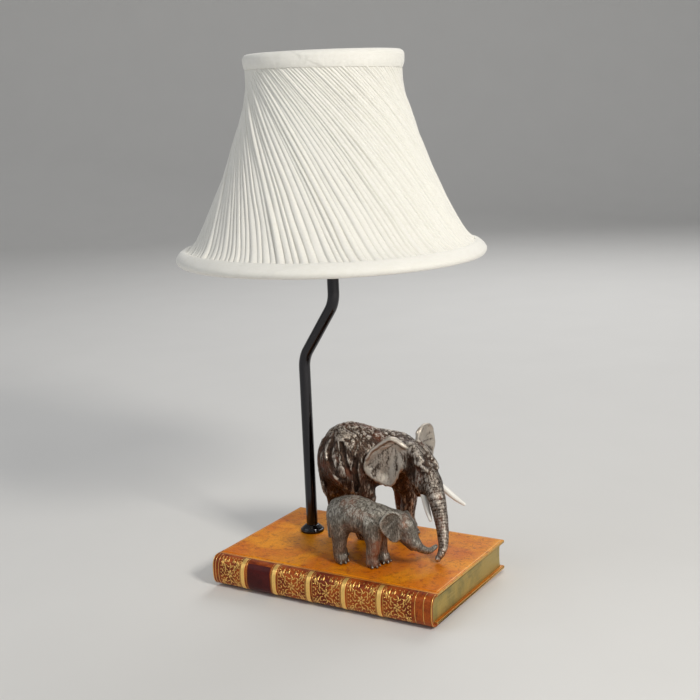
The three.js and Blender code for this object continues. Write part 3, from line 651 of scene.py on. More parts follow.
@dataclass(frozen=True)
class Polished(Finish):
    """Smooth plated metal with faint handling marks."""

    colour: Colour
    rough: float = 0.14
    metal: float = 1.0
    coat: float = 0.0

    def looks(self, sheet: Sheet) -> Feeds:
        """Handling marks and a little dust."""
        place = sheet.place
        marks = sheet.effect(HANDLING, Place=place, Scale=35.0, Roughness=self.rough)
        dusty = tuple(min(1.0, c * 1.3 + 0.05) for c in self.colour)
        ripple = sheet.noise(place, 90.0, 2.0)
        return {"Base Color": sheet.mix(sheet.times(marks["Dust"], 0.35), self.colour, dusty),
            "Metallic": self.metal, "Roughness": marks["Roughness"], "Coat Weight": self.coat,
            "Coat Roughness": 0.08, "Normal": sheet.bump(ripple, 0.15, 0.0001)}


@dataclass(frozen=True)
class Bronze(Finish):
    """Cast bronze under a dark patina, with its high points rubbed bright, and painted highlights and painted shade
    laid into the same bright mask.
    """

    dark: Colour
    brown: Colour
    rubbed: Colour
    rough: float = 0.42
    streak: float = 700.0
    hair: float = 0.5
    metal: float = 0.78

    def looks(self, sheet: Sheet) -> Feeds:
        """Patina in the hollows, bright metal where hands reach, and painted highlights and painted shade from the
        rub value.
        """
        place = sheet.place
        # The rub attribute is partly rubbed wear and partly painted highlight and painted shade.
        rub = sheet.node("Attribute", attribute_name="rub").outputs["Fac"]
        combed = sheet.noise(sheet.stretched(place, (1.0, 1.0, 0.15)), self.streak, 4.0, 0.65, 0.3)
        rub = sheet.plus(rub, sheet.scaled(combed, 1.1, -0.55))
        wear_and_light = sheet.effect(WEAR_AND_LIGHT, Place=sheet.stretched(place, (1.0, 1.0, 0.4)), Rub=rub, Scale=900.0)
        warm = sheet.span(sheet.noise(place, 60.0, 4.0, 0.6), 0.5, 0.75)
        ruddy = tuple(c * s for c, s in zip(self.brown, (1.9, 0.9, 0.6)))
        patina = sheet.mix(wear_and_light["Patches"], self.dark, self.brown)
        patina = sheet.mix(sheet.times(warm, 0.55), patina, ruddy)
        fine = sheet.cells(place, 1500.0, "DISTANCE_TO_EDGE")
        skin = sheet.plus(sheet.span(fine, 0.0, 0.2), sheet.noise(place, 2600.0, 3.0, 0.6))
        normal = sheet.bump(skin, 0.45, 0.00016)
        return {"Base Color": sheet.mix(wear_and_light["Mask"], patina, self.rubbed),
            "Metallic": sheet.scaled(wear_and_light["Mask"], 0.2, self.metal),
            "Roughness": sheet.scaled(wear_and_light["Mask"], -0.1, self.rough + 0.04), "Specular IOR Level": 0.5,
            "Normal": sheet.bump(combed, self.hair, 0.0006, normal)}


@dataclass(frozen=True)
class Resin(Finish):
    """Polished cream resin with a faint length-wise grain."""

    colour: Colour = (0.93, 0.91, 0.85)
    shade: Colour = (0.8, 0.75, 0.62)

    def looks(self, sheet: Sheet) -> Feeds:
        """Streaks and a clear gloss."""
        place = sheet.place
        streak = sheet.noise(sheet.stretched(place, (1.0, 1.0, 0.2)), 900.0, 4.0, 0.6, 0.5)
        return {"Base Color": sheet.mix(sheet.span(streak, 0.5, 0.8, 0.0, 0.5), self.colour, self.shade),
            "Roughness": sheet.scaled(streak, 0.15, 0.18), "Coat Weight": 0.4, "Coat Roughness": 0.1,
            "Normal": sheet.bump(streak, 0.2, 0.00008)}


@dataclass(frozen=True)
class Cloth(Finish):
    """Fine plain-woven cloth."""

    colour: Colour
    shade: Colour
    pitch: float = 0.00055
    radius: float = 0.09
    sheen: float = 0.25
    creases: float = 0.5

    def looks(self, sheet: Sheet) -> Feeds:
        """Weave, slubs and soft creases."""
        place = sheet.place
        weave = sheet.effect(WEAVE, Place=place, Pitch=self.pitch, Radius=self.radius)
        crease = sheet.noise(place, 150.0, 4.0, 0.6, 0.6)
        tint = sheet.plus(sheet.times(weave["Slubs"], 0.25), sheet.span(crease, 0.35, 0.8, 0.0, 0.3))
        under = sheet.bump(crease, self.creases, 0.0004)
        return {"Base Color": sheet.mix(tint, self.colour, self.shade),
            "Roughness": sheet.scaled(weave["Slubs"], 0.12, 0.78), "Specular IOR Level": 0.25,
            "Sheen Weight": self.sheen, "Sheen Roughness": 0.4, "Normal": sheet.bump(weave["Height"], 0.5, 0.00012,
            under)}


@dataclass(frozen=True)
class Felt(Finish):
    """Dense dark wool felt."""

    colour: Colour = (0.028, 0.022, 0.018)
    fibre: Colour = (0.09, 0.075, 0.06)

    def looks(self, sheet: Sheet) -> Feeds:
        """Matted fibres."""
        place = sheet.place
        fibres = sheet.noise(place, 1800.0, 6.0, 0.75, 2.0)
        return {"Base Color": sheet.mix(sheet.span(fibres, 0.45, 0.75), self.colour, self.fibre),
            "Roughness": sheet.scaled(fibres, 0.1, 0.88), "Sheen Weight": 0.3,
            "Normal": sheet.bump(fibres, 0.8, 0.0004)}


@dataclass(frozen=True)
class Moulded(Finish):
    """Moulded plastic, ceramic or glass with a fine surface."""

    colour: Colour
    rough: float = 0.3
    coat: float = 0.3
    texture: float = 0.15

    def looks(self, sheet: Sheet) -> Feeds:
        """A fine moulded texture and a little tone."""
        place = sheet.place
        marks = sheet.effect(HANDLING, Place=place, Scale=40.0, Roughness=self.rough)
        tone = sheet.noise(place, 45.0, 3.0)
        deeper = tuple(c * 0.86 for c in self.colour)
        return {"Base Color": sheet.mix(sheet.span(tone, 0.4, 0.8, 0.0, 0.6), self.colour, deeper),
            "Roughness": marks["Roughness"], "Coat Weight": self.coat, "Coat Roughness": 0.12,
            "Normal": sheet.bump(sheet.noise(place, 1500.0, 2.0), self.texture, 0.00006)}


@dataclass(frozen=True)
class Brushed(Finish):
    """Plated or bare metal with drawing lines and stains."""

    colour: Colour
    stain: Colour
    rough: float = 0.35
    metal: float = 1.0

    def looks(self, sheet: Sheet) -> Feeds:
        """Fine lines and stains."""
        place = sheet.place
        lines = sheet.noise(sheet.stretched(place, (1.0, 1.0, 18.0)), 320.0, 4.0, 0.7)
        stains = sheet.span(sheet.noise(place, 80.0, 5.0, 0.65), 0.45, 0.75)
        return {"Base Color": sheet.mix(sheet.times(stains, 0.6), self.colour, self.stain), "Metallic": self.metal,
            "Roughness": sheet.scaled(lines, 0.25, self.rough - 0.1), "Normal": sheet.bump(lines, 0.3, 0.00006)}


@dataclass(frozen=True)
class Backdrop(Finish):
    """Matt pale studio paper."""

    colour: Colour = (0.74, 0.73, 0.71)
    shade: Colour = (0.71, 0.7, 0.68)

    def looks(self, sheet: Sheet) -> Feeds:
        """A faint mottle."""
        return {"Base Color": sheet.mix(sheet.noise(sheet.place, 9.0, 3.0), self.colour, self.shade),
            "Roughness": 0.9, "Specular IOR Level": 0.1}


TAN = Leather("Tan calf", light=(0.84, 0.31, 0.003), middle=(0.66, 0.165, 0.002), dark=(0.26, 0.032, 0.002),
    fillets=((2.3, 0.42),), panel=(-84.2, 125.8, -69.7, 59.5), rim=0.75)
# The back board's leather is a darker copy of the front board's tan: painted shade on the lower board.
SHADED_TAN_BACK = replace(TAN, name="Tan calf, back board", light=(0.62, 0.21, 0.012), middle=(0.46, 0.11, 0.008),
    dark=(0.2, 0.035, 0.006))
RUSSET = Leather("Russet calf", light=(0.42, 0.085, 0.01), middle=(0.17, 0.022, 0.005), dark=(0.06, 0.008, 0.003),
    cloud_scale=70.0)
OXBLOOD = Leather("Oxblood calf", light=(0.085, 0.008, 0.007), middle=(0.05, 0.005, 0.005),
    dark=(0.022, 0.003, 0.003), cloud_scale=50.0)
GOLD = Gilding("Gold tooling", bright=(0.86, 0.52, 0.15), dull=(0.36, 0.15, 0.03))
BAND_GOLD = Gilding("Gilt bands", bright=(0.98, 0.64, 0.2), dull=(0.72, 0.38, 0.08), rough=0.42)
LEAVES = GiltEdges("Gilt page edges")
BLACK_NICKEL = Polished("Black nickel", colour=(0.035, 0.034, 0.038), rough=0.13, coat=0.3)
COW_BRONZE = Bronze("Cow bronze", dark=(0.02, 0.013, 0.01), brown=(0.1, 0.06, 0.04), rubbed=(0.56, 0.5, 0.43),
    rough=0.34)
CALF_BRONZE = Bronze("Calf bronze", dark=(0.08, 0.07, 0.058), brown=(0.22, 0.19, 0.155), rubbed=(0.46, 0.435, 0.38),
    rough=0.36, streak=1500.0, hair=0.8)
TUSK = Resin("Cream resin")
PLEATED = Cloth("Ivory cloth", colour=(0.87, 0.855, 0.8), shade=(0.8, 0.78, 0.7), creases=0.25)
LINING = Cloth("Lining cloth", colour=(0.84, 0.81, 0.73), shade=(0.76, 0.72, 0.62), pitch=0.0007, creases=0.35)
TAPE = Cloth("Binding tape", colour=(0.88, 0.865, 0.81), shade=(0.8, 0.78, 0.7), pitch=0.0005, creases=0.5)
FELT = Felt("Brown felt")
IVORY = Moulded("Ivory plastic", colour=(0.8, 0.75, 0.62), rough=0.25)
NYLON = Moulded("Black nylon", colour=(0.025, 0.025, 0.025), rough=0.5, coat=0.0, texture=0.4)
STEATITE = Moulded("Steatite", colour=(0.74, 0.7, 0.62), rough=0.6, coat=0.0, texture=0.5)
OPAL = Moulded("Opal glass", colour=(0.88, 0.87, 0.83), rough=0.16, coat=0.6, texture=0.05)
WIRE = Moulded("White powder coat", colour=(0.78, 0.77, 0.72), rough=0.4, coat=0.1, texture=0.4)
BRASS = Brushed("Contact brass", colour=(0.72, 0.5, 0.22), stain=(0.4, 0.24, 0.1))
ALUMINIUM = Brushed("Bulb cap metal", colour=(0.75, 0.75, 0.76), stain=(0.5, 0.5, 0.5), rough=0.3)
ZINC = Brushed("Zinc plate", colour=(0.58, 0.59, 0.61), stain=(0.42, 0.4, 0.34))
IRON = Brushed("Raw iron", colour=(0.14, 0.14, 0.145), stain=(0.12, 0.07, 0.045), rough=0.6)


def corners_of(node: str) -> Tuple[Array, Array]:
    """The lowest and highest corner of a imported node, in millimetres."""
    low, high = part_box(node)
    return np.array(low) / MM, np.array(high) / MM


def fit_out(piece: Piece, body: str, slot: str, finish: Finish, *nodes: str) -> Piece:
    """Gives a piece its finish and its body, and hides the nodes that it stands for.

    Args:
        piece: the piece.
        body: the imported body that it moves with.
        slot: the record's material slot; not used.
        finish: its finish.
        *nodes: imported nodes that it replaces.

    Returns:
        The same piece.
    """
    piece.data.materials.clear()
    piece.data.materials.append(finish.material())
    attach(piece, body)
    if nodes:
        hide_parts(*nodes)
    LOG.info("%s on %s: %d faces", piece.name, body, len(piece.data.polygons))
    return piece


def dress_node(node: str, finish: Finish) -> None:
    """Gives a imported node, which keeps its own shape, a finish."""
    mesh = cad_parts[node].data
    mesh.materials.clear()
    mesh.materials.append(finish.material())
    LOG.info("%s keeps its packed shape", node)


# ---------- Book ----------


def inset(section: Array, depth: float) -> Array:
    """A closed outline drawn in by a small depth."""
    along = unit(np.roll(section, -1, axis=0) - np.roll(section, 1, axis=0))
    inward = np.stack([-along[:, 1], along[:, 0]], axis=1)
    x, y = section[:, 0], section[:, 1]
    turning = np.sum(x * np.roll(y, -1) - y * np.roll(x, -1))
    return section + inward * (depth if turning > 0 else -depth)


def slab(section: Array, x0: float, x1: float, ease: float, steps: int = 4, spans: int = 40) -> Shape:
    """A section in the YZ plane carried along X, with eased ends.

    Args:
        section: closed outline of [y, z] points.
        x0: lower end.
        x1: upper end.
        ease: radius of the end edges.
        steps: stations in each eased end.
        spans: stations between them.

    Returns:
        Points and faces.
    """
    turn = np.linspace(0.0, pi / 2, steps + 1)
    stations = [(x0 + ease * (1 - sin(a)), ease * (1 - cos(a))) for a in turn[::-1]]
    stations += [(x, 0.0) for x in np.linspace(x0 + ease, x1 - ease, spans)[1:-1]]
    stations += [(x1 - ease * (1 - sin(a)), ease * (1 - cos(a))) for a in turn]
    rows = []
    for x, depth in stations:
        outline = inset(section, depth)
        rows.append(np.column_stack([np.full(len(outline), x), outline]))
    return capped(np.stack(rows))


@dataclass
class Book:
    """The leather-bound book that the lamp stands on, lying flat with its spine to the front."""

    spine_front: float = -69.9
    bulge: float = 9.8
    squareness: float = 2.8
    thickness: float = 1.4
    band_height: float = 1.2
    band_half: float = 2.5
    bands: Tuple[float, ...] = (-52.6, -20.8, 12.9, 46.3, 79.2)
    end_lines: Tuple[float, ...] = (-81.2, -78.0, 110.9, 118.4)
    panels: Tuple[Pair, ...] = ((-76.6, -55.6), (-17.6, 9.8), (16.1, 43.2), (49.4, 76.2), (82.2, 108.6))
    sprays: Tuple[Tuple, ...] = ((0.75, (0.2, 0.64), (0.26, 0.74), (0.2, 0.88)),
        (0.75, (0.56, 0.6), (0.62, 0.72), (0.55, 0.88)), (0.6, (0.8, 0.8), (0.66, 0.56), (0.56, 0.46), (0.6, 0.36)),
        (0.6, (0.8, 0.8), (0.78, 0.5), (0.68, 0.36)), (0.5, (0.8, 0.24), (0.7, 0.12), (0.78, 0.06)),
        (0.55, (0.2, 0.2), (0.4, 0.28), (0.44, 0.46), (0.3, 0.5)), (0.5, (0.4, 0.62), (0.38, 0.7), (0.42, 0.78)),
        (0.5, (0.64, 0.26), (0.6, 0.3), (0.56, 0.26)))
    label_margin: float = 2.2
    board_ease: float = 0.9
    joint: float = -66.3
    joint_depth: float = 0.55
    tooling_height: float = 0.07
    line_half: float = 0.24
    band_line_half: float = 0.2
    end_line_half: float = 0.36
    crest_half: float = 1.95
    label_rise: float = 0.32

    def __post_init__(self) -> None:
        """Reads the book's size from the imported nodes."""
        low, high = corners_of("front_board")
        self.x0, self.x1 = low[0], high[0]
        self.y1, self.top = high[1], high[2]
        self.board = high[2] - low[2]
        low, _ = corners_of("back_board")
        self.bottom = low[2]
        self.middle = (self.top + self.bottom) / 2
        self.half = (self.top - self.bottom) / 2
        turn = np.linspace(0.0, pi, 721)
        swollen = np.abs(np.stack([np.sin(turn), np.cos(turn)], axis=1)) ** (2 / self.squareness)
        self.profile = swollen * np.stack([np.ones(721), np.sign(np.cos(turn))], axis=1)
        steps = np.linalg.norm(np.diff(self.profile * (self.bulge, self.half), axis=0), axis=1)
        self.gone = pi * np.concatenate([[0.0], np.cumsum(steps)]) / steps.sum()

    def section(self, angle: Array, bulge: Union[float, Array], half: float) -> Tuple[Array, Array]:
        """The y and z of the squarish front, at shares of its length given as angles."""
        out, up = (np.interp(angle, self.gone, self.profile[:, k]) for k in (0, 1))
        return self.spine_front - bulge * out, self.middle + half * up

    def lift(self, x: Array) -> Array:
        """How far the raised bands lift the spine at each place along it."""
        total = np.zeros_like(np.asarray(x, float))
        for band in self.bands:
            u = np.clip(np.abs(x - band) / self.band_half, 0.0, 1.0)
            total = total + self.band_height * np.sqrt(1.0 - u**3) * (1 - smoothstep(0.8, 1.0, u))
        return total

    def spine(self, x: Array, angle: Array, above: float = 0.0) -> Array:
        """Points on the outside of the spine.

        Args:
            x: places along it.
            angle: radians round it, 0 at the front board and pi at the back board.
            above: height over the leather.

        Returns:
            Points as an array.
        """
        reach = self.bulge + self.lift(x) * np.sin(angle) ** 0.5 + above
        y, z = self.section(angle, reach, self.half + above * 0.6)
        return stacked(x, y, z)

    def add_boards(self) -> None:
        """The two boards under leather, with rounded edges and a pressed joint along the spine."""
        flat = np.linspace(self.spine_front + 2.0, self.spine_front + 6.0, 17)
        near = self.spine_front + 0.05
        # The back board takes the darker tan copy, which paints shade on it.
        boards = [("front_board", self.top - self.board, TAN, True), ("back_board", self.bottom, SHADED_TAN_BACK, False)]
        for node, low, finish, up in boards:
            outside, inside = (low + self.board, low) if up else (low, low + self.board)
            edge = [(near, outside, 0.3), *[(y, outside, 0.0) for y in flat]]
            edge += [(self.y1, outside, self.board_ease), (self.y1, inside, 0.6), (near, inside, 0.3)]
            section = rounded(edge, 5)
            press = self.joint_depth * np.exp(-(((section[:, 0] - self.joint) / 0.75) ** 2))
            on_outside = np.abs(section[:, 1] - outside) < 0.01
            section[:, 1] -= np.where(on_outside, press, 0.0) * (1 if up else -1)
            points, faces = slab(section, self.x0, self.x1, self.board_ease)
            piece = make_mesh(f"{node}_leather", points, faces, sharp=35)
            fit_out(piece, "base", "cover_leather", finish, node)

    def add_pages(self) -> None:
        """The leaves, rounded at the spine and hollowed at the fore-edge."""
        low, high = corners_of("page_block")
        z0, z1 = self.bottom + self.board - 0.1, self.top - self.board + 0.1
        t = np.linspace(0.0, 1.0, 28)
        back = self.section(pi * (1 - t), self.bulge - self.thickness - 0.1, (z1 - z0) / 2)
        hollow = high[1] - 1.3 * np.sin(pi * t), z1 - (z1 - z0) * t
        section = np.concatenate([np.column_stack(back), np.column_stack(hollow)])
        points, faces = slab(section, low[0], high[0], 0.15, 2, 30)
        fit_out(make_mesh("gilt_leaves", points, faces, sharp=30), "base", "gilt_pages", LEAVES, "page_block")

    def add_spine(self) -> None:
        """The spine leather, moulded over its five bands, with rolled ends."""
        marks = (0.0, 0.3, 0.55, 0.75, 0.85, 0.93, 1.0, 1.1)
        near = [b + s * self.band_half * k for b in self.bands for s in (-1, 1) for k in marks]
        ends = [end + side * a for end, side in ((self.x0, 1), (self.x1, -1)) for a in (0.0, 0.12, 0.4, 0.8)]
        x = np.unique(np.round([*ends, *near, *np.linspace(self.x0 + 1.5, self.x1 - 1.5, 120)], 3))
        angle = np.linspace(0.0, pi, 53)
        edge = np.minimum(x - self.x0, self.x1 - x)
        tuck = -0.35 * (1 - np.sqrt(np.clip(1 - (1 - np.clip(edge / 0.8, 0, 1)) ** 2, 0, 1)))
        outer = self.spine(x[:, None], angle[None, :])
        sink = tuck[:, None]
        outer[..., 1] -= sink * np.sin(angle)
        outer[..., 2] += sink * np.cos(angle)
        inner_y, inner_z = self.section(angle[::-1], self.bulge - self.thickness, self.half - self.thickness)
        inner = stacked(x[:, None], inner_y[None], inner_z[None])
        piece = make_mesh("spine_leather", *capped(np.concatenate([outer, inner], axis=1)), sharp=50)
        fit_out(piece, "base", "spine_leather", RUSSET, "spine_cover")

    def ribbon(self, line: Array, width: Array, above: float) -> Shape:
        """A thin strip of gold that follows the spine.

        Args:
            line: its middle, as [x, angle] points.
            width: its half width at each point, in millimetres.
            above: its height over the leather.

        Returns:
            Points and faces of a closed strip.
        """
        scale = np.array([1.0, self.half])
        flat = line * scale
        along = unit(np.gradient(flat, axis=0))
        side = np.column_stack([-along[:, 1], along[:, 0]]) * width[:, None] / scale
        rows = []
        for k, height in ((1, above), (-1, above), (-1, -0.1), (1, -0.1)):
            edge = line + side * k
            rows.append(self.spine(edge[:, 0], np.clip(edge[:, 1], 0.02, pi - 0.02), height))
        return capped(np.stack(rows, axis=1))

    def stroke(self, knots: Sequence[Pair], wide: float, taper: float = 1.0) -> Shape:
        """A curved stroke of tooling through [x, angle] knots, swelling in its middle."""
        line = catmull(np.array(knots, float), 5)
        t = np.linspace(0.0, 1.0, len(line))
        width = wide * (1 - taper + taper * np.sin(pi * np.clip(t * 0.92 + 0.06, 0, 1)) ** 0.7)
        return self.ribbon(line, np.maximum(width, 0.07), self.tooling_height)

    def ornament(self, x0: float, x1: float) -> List[Shape]:
        """A flower with leaves in the middle of a panel, and a spray in each of its corners."""
        middle, half = (x0 + x1) / 2, (x1 - x0) / 2
        quarter, reach = pi / 2, 1.28
        made = []

        def bent(points: Sequence[Pair], wide: float) -> None:
            """Adds one stroke, with its points as places in the panel from -1 to 1 each way."""
            made.append(self.stroke([(middle + u * half, quarter + w * reach) for u, w in points], wide))

        for k in range(6):
            a = pi / 6 + k * pi / 3
            c, s = cos(a), sin(a)
            d, e = cos(a + 0.3), sin(a + 0.3)
            bent([(0.05 * c, 0.05 * s), (0.18 * d, 0.17 * e), (0.28 * c, 0.26 * s)], 0.8)
        for s in (-1, 1):
            bent([(0.0, 0.28 * s), (0.08, 0.42 * s), (0.0, 0.56 * s), (-0.1, 0.62 * s)], 0.5)
            bent([(0.02, 0.4 * s), (0.18, 0.42 * s), (0.27, 0.52 * s)], 0.55)
            bent([(-0.01, 0.42 * s), (-0.17, 0.4 * s), (-0.26, 0.48 * s)], 0.55)
            bent([(0.32 * s, 0.02), (0.42 * s, 0.1), (0.54 * s, 0.03), (0.58 * s, -0.1)], 0.5)
            bent([(0.38 * s, -0.05), (0.46 * s, -0.2), (0.42 * s, -0.3)], 0.5)
            for u in np.linspace(-0.9, 0.9, 7):
                bent([(u, 0.98 * s), (u + 0.04, 0.88 * s)], 0.4)
            for w in np.linspace(-0.8, 0.8, 9):
                bent([(0.94 * s, w - 0.04), (0.86 * s, w), (0.94 * s, w + 0.04)], 0.38)
            for t in (-1, 1):
                for wide, *knots in self.sprays:
                    bent([(u * s, w * t) for u, w in knots], wide)
        return made

    def add_tooling(self) -> None:
        """Gilt lines, bands, and the flowers in the panels."""
        round_it = np.linspace(0.1, pi - 0.1, 30)
        rules = [(x, self.line_half) for x in self.end_lines]
        beside = self.band_half + 0.75
        rules += [(band + side * beside, self.band_line_half) for band in self.bands for side in (-1, 1)]
        rules += [(self.x0 + 0.45, self.end_line_half), (self.x1 - 0.45, self.end_line_half)]
        lines = []
        for x, wide in rules:
            line = np.column_stack([np.full(30, x), round_it])
            lines.append(self.ribbon(line, np.full(30, wide), self.tooling_height))
        for panel in self.panels:
            lines += self.ornament(*panel)
        fit_out(make_mesh("spine_tooling", *joined(lines)), "base", "spine_leather", GOLD)
        crests = []
        across = np.linspace(-self.crest_half, self.crest_half, 11)
        for band in self.bands:
            rows = [self.spine(np.full(30, band + a), round_it, self.tooling_height) for a in across]
            rows += [self.spine(np.full(30, band + a), round_it, -0.15) for a in across[::-1]]
            crests.append(capped(np.stack(rows, axis=1)))
        fit_out(make_mesh("gilt_bands", *joined(crests)), "base", "spine_leather", BAND_GOLD)

    def add_label(self) -> None:
        """The bare title patch between the first two bands."""
        x0 = self.bands[0] + self.band_half + self.label_margin - 0.1
        x1 = self.bands[1] - self.band_half - self.label_margin + 0.1
        angle = np.linspace(0.18 * pi, 0.82 * pi, 25)
        x = np.linspace(x0, x1, 24)
        rows = []
        for above in (self.label_rise, -0.1):
            eased = above - 0.16 * (np.abs(np.linspace(-1, 1, 24)) > 0.97) * (above > 0)
            layer = np.stack([self.spine(np.full(25, a), angle, float(e)) for a, e in zip(x, eased)])
            rows.append(layer if above > 0 else layer[:, ::-1])
        patch = make_mesh("title_patch", *capped(np.concatenate(rows, axis=1)), sharp=60)
        fit_out(patch, "base", "label_leather", OXBLOOD, "title_label")

    def add_felt(self) -> None:
        """The felt under the back board."""
        low, high = corners_of("felt_pad")
        y0, y1, top = low[1], high[1], high[2] + 0.2
        section = rounded([(y0, low[2], 0.5), (y1, low[2], 0.5), (y1, top, 0.3), (y0, top, 0.3)])
        points, faces = slab(section, low[0], high[0], 0.5, 3, 60)
        fit_out(make_mesh("felt_underlay", points, faces, sharp=50), "base", "felt", FELT, "felt_pad")

    def build(self) -> None:
        """Builds the whole book."""
        self.add_felt()
        self.add_boards()
        self.add_pages()
        self.add_spine()
        self.add_tooling()
        self.add_label()
        dress_node("ballast_plate", IRON)
        dress_node("cable_gland", NYLON)
        for name in ("cow_front_screw", "cow_rear_screw", "calf_front_screw", "calf_rear_screw"):
            dress_node(name, ZINC)


# ---------- Stem, lampholder and bulb ----------


@dataclass
class Stem:
    """The cranked tube that carries the shade, with its collar and fastenings."""

    foot: Pair = (-39.1, 10.05)
    radius: float = 5.0
    low_bend: float = 187.0
    high_bend: float = 239.0
    top: float = 303.0
    reach: float = 9.0

    def path(self) -> Array:
        """The tube's middle line."""
        low = np.array([*self.foot, self.low_bend])
        high = np.array([0.0, 0.0, self.high_bend])
        up, slant = np.array([0.0, 0.0, 1.0]), unit(high - low)
        t = np.linspace(0.0, 1.0, 15)[:, None]
        points = [np.array([[*self.foot, z]]) for z in np.linspace(8.2, self.low_bend - self.reach - 2, 20)]
        for corner, before, after in ((low, up, slant), (high, slant, up)):
            a, c = corner - before * self.reach, corner + after * self.reach
            points.append((1 - t) ** 2 * a + 2 * t * (1 - t) * corner + t**2 * c)
        points += [np.array([[0.0, 0.0, z]]) for z in np.linspace(self.high_bend + self.reach + 2, self.top, 10)]
        return np.concatenate(points)

    def build(self) -> None:
        """Builds the tube and its collar, and dresses what is inside the book."""
        piece = make_mesh("stem_pipe", *tube(self.path(), self.radius, 48), sharp=50)
        fit_out(piece, "base", "black_nickel", BLACK_NICKEL, "stem_tube")
        low, high = corners_of("stem_collar")
        z, outer = low[2], (high[0] - low[0]) / 2
        profile = rounded([(self.radius - 0.1, z - 0.2, 0.0), (outer, z - 0.2, 0.3), (outer, z + 1.9, 0.5),
            (outer - 1.3, z + 2.6, 0.5), (outer - 1.6, z + 3.4, 0.4), (self.radius + 2.4, z + 4.6, 0.8),
            (self.radius + 0.9, high[2], 0.5), (self.radius - 0.1, high[2], 0.0)], 5)
        collar = make_mesh("stem_rosette", *lathe(profile, 72, self.foot), sharp=50)
        fit_out(collar, "base", "black_nickel", BLACK_NICKEL, "stem_collar")
        dress_node("stem_washer", ZINC)
        dress_node("stem_lock_nut", ZINC)


def threaded(radius: float, z0: float, z1: float, pitch: float, depth: float) -> List[Colour]:
    """The outline of a rolled thread between two heights, as rounded corners."""
    count = max(1, int((z1 - z0) / pitch))
    made = []
    for k in range(count):
        z = z0 + k * pitch
        made += [(radius - depth, z, 0.0), (radius - depth * 0.15, z + pitch * 0.25, 0.0)]
        made += [(radius, z + pitch * 0.5, 0.0), (radius - depth * 0.15, z + pitch * 0.75, 0.0)]
    return made


def knurled(points: Array, count: int, depth: float, beyond: float) -> Array:
    """Turned points with grip ribs pressed into what lies beyond a radius."""
    radius = np.linalg.norm(points[:, :2], axis=1)
    angle = np.arctan2(points[:, 1], points[:, 0])
    share = smoothstep(beyond - 0.3, beyond, radius)
    scale = 1 - depth / np.maximum(radius, 1e-6) * share * (0.5 - 0.5 * np.cos(angle * count))
    made = points.copy()
    made[:, :2] *= scale[:, None]
    return made


@dataclass
class Lampholder:
    """The lampholder on the stem's end, with the rings that clamp the shade and its push-bar switch."""

    radius: float = 13.8
    bore: float = 11.2
    cap: float = 299.0
    joint: float = 318.0
    shoulder: float = 342.0
    top: float = 362.0

    def build(self) -> None:
        """Builds the cap, skirt, rings, contacts and switch."""
        cap = rounded([(5.1, self.cap, 0.0), (8.0, self.cap, 0.8), (self.radius - 1.5, self.cap + 3.2, 2.0),
            (self.radius, self.cap + 7.0, 1.5), (self.radius, self.joint - 0.3, 0.3),
            (self.bore, self.joint - 0.3, 0.0), (self.bore, self.cap + 7.0, 0.0), (5.1, self.cap + 3.5, 0.0)], 5)
        piece = make_mesh("holder_cap", *lathe(cap, 64), sharp=50)
        fit_out(piece, "base", "black_nickel", BLACK_NICKEL, "lampholder_cap")
        skirt = rounded([(self.bore, self.joint, 0.0), (self.radius, self.joint, 0.3),
            (self.radius, self.shoulder - 2, 0.5), (self.radius + 2.2, self.shoulder, 0.4),
            (self.radius + 2.2, self.shoulder + 1.6, 0.3), (self.radius - 0.6, self.shoulder + 1.7, 0.2),
            *threaded(self.radius, self.shoulder + 2.0, self.top - 1.0, 1.6, 0.6),
            (self.radius - 0.6, self.top, 0.3), (self.bore, self.top, 0.3)], 3)
        piece = make_mesh("holder_skirt", *lathe(skirt, 64), sharp=45)
        fit_out(piece, "base", "ivory_plastic", IVORY, "lampholder_skirt")
        for name, node, body in (("shade_ring_low", "lower_shade_ring", "base"),
                ("shade_ring_high", "upper_shade_ring", "shade_ring")):
            low, high = corners_of(node)
            outer, z0, z1 = (high[0] - low[0]) / 2, low[2], high[2]
            flange = min(z1, z0 + 2.4)
            outline = [(self.radius + 0.2, z0, 0.0), (outer, z0, 0.4), (outer, flange, 0.4)]
            if z1 > flange:
                outline += [(outer - 2.2, flange + 0.5, 0.4), (outer - 2.6, z1, 0.6)]
            outline.append((self.radius + 0.2, z1, 0.3))
            points, faces = lathe(rounded(outline, 4), 192)
            ring = make_mesh(name, knurled(points, 32, 0.45, outer - 0.2), faces, sharp=50)
            fit_out(ring, body, "ivory_plastic", IVORY, node)
        low, high = corners_of("switch_bar")
        line = np.linspace(low + (high - low) * [0, 0.5, 0.5], high - (high - low) * [0, 0.5, 0.5], 12)
        bar = make_mesh("push_bar", *domed(line, (high[2] - low[2]) / 2, 28), sharp=60)
        fit_out(bar, "switch", "ivory_plastic", IVORY, "switch_bar")
        dress_node("contact_block", STEATITE)
        dress_node("screw_shell_contact", BRASS)
        dress_node("centre_contact", BRASS)


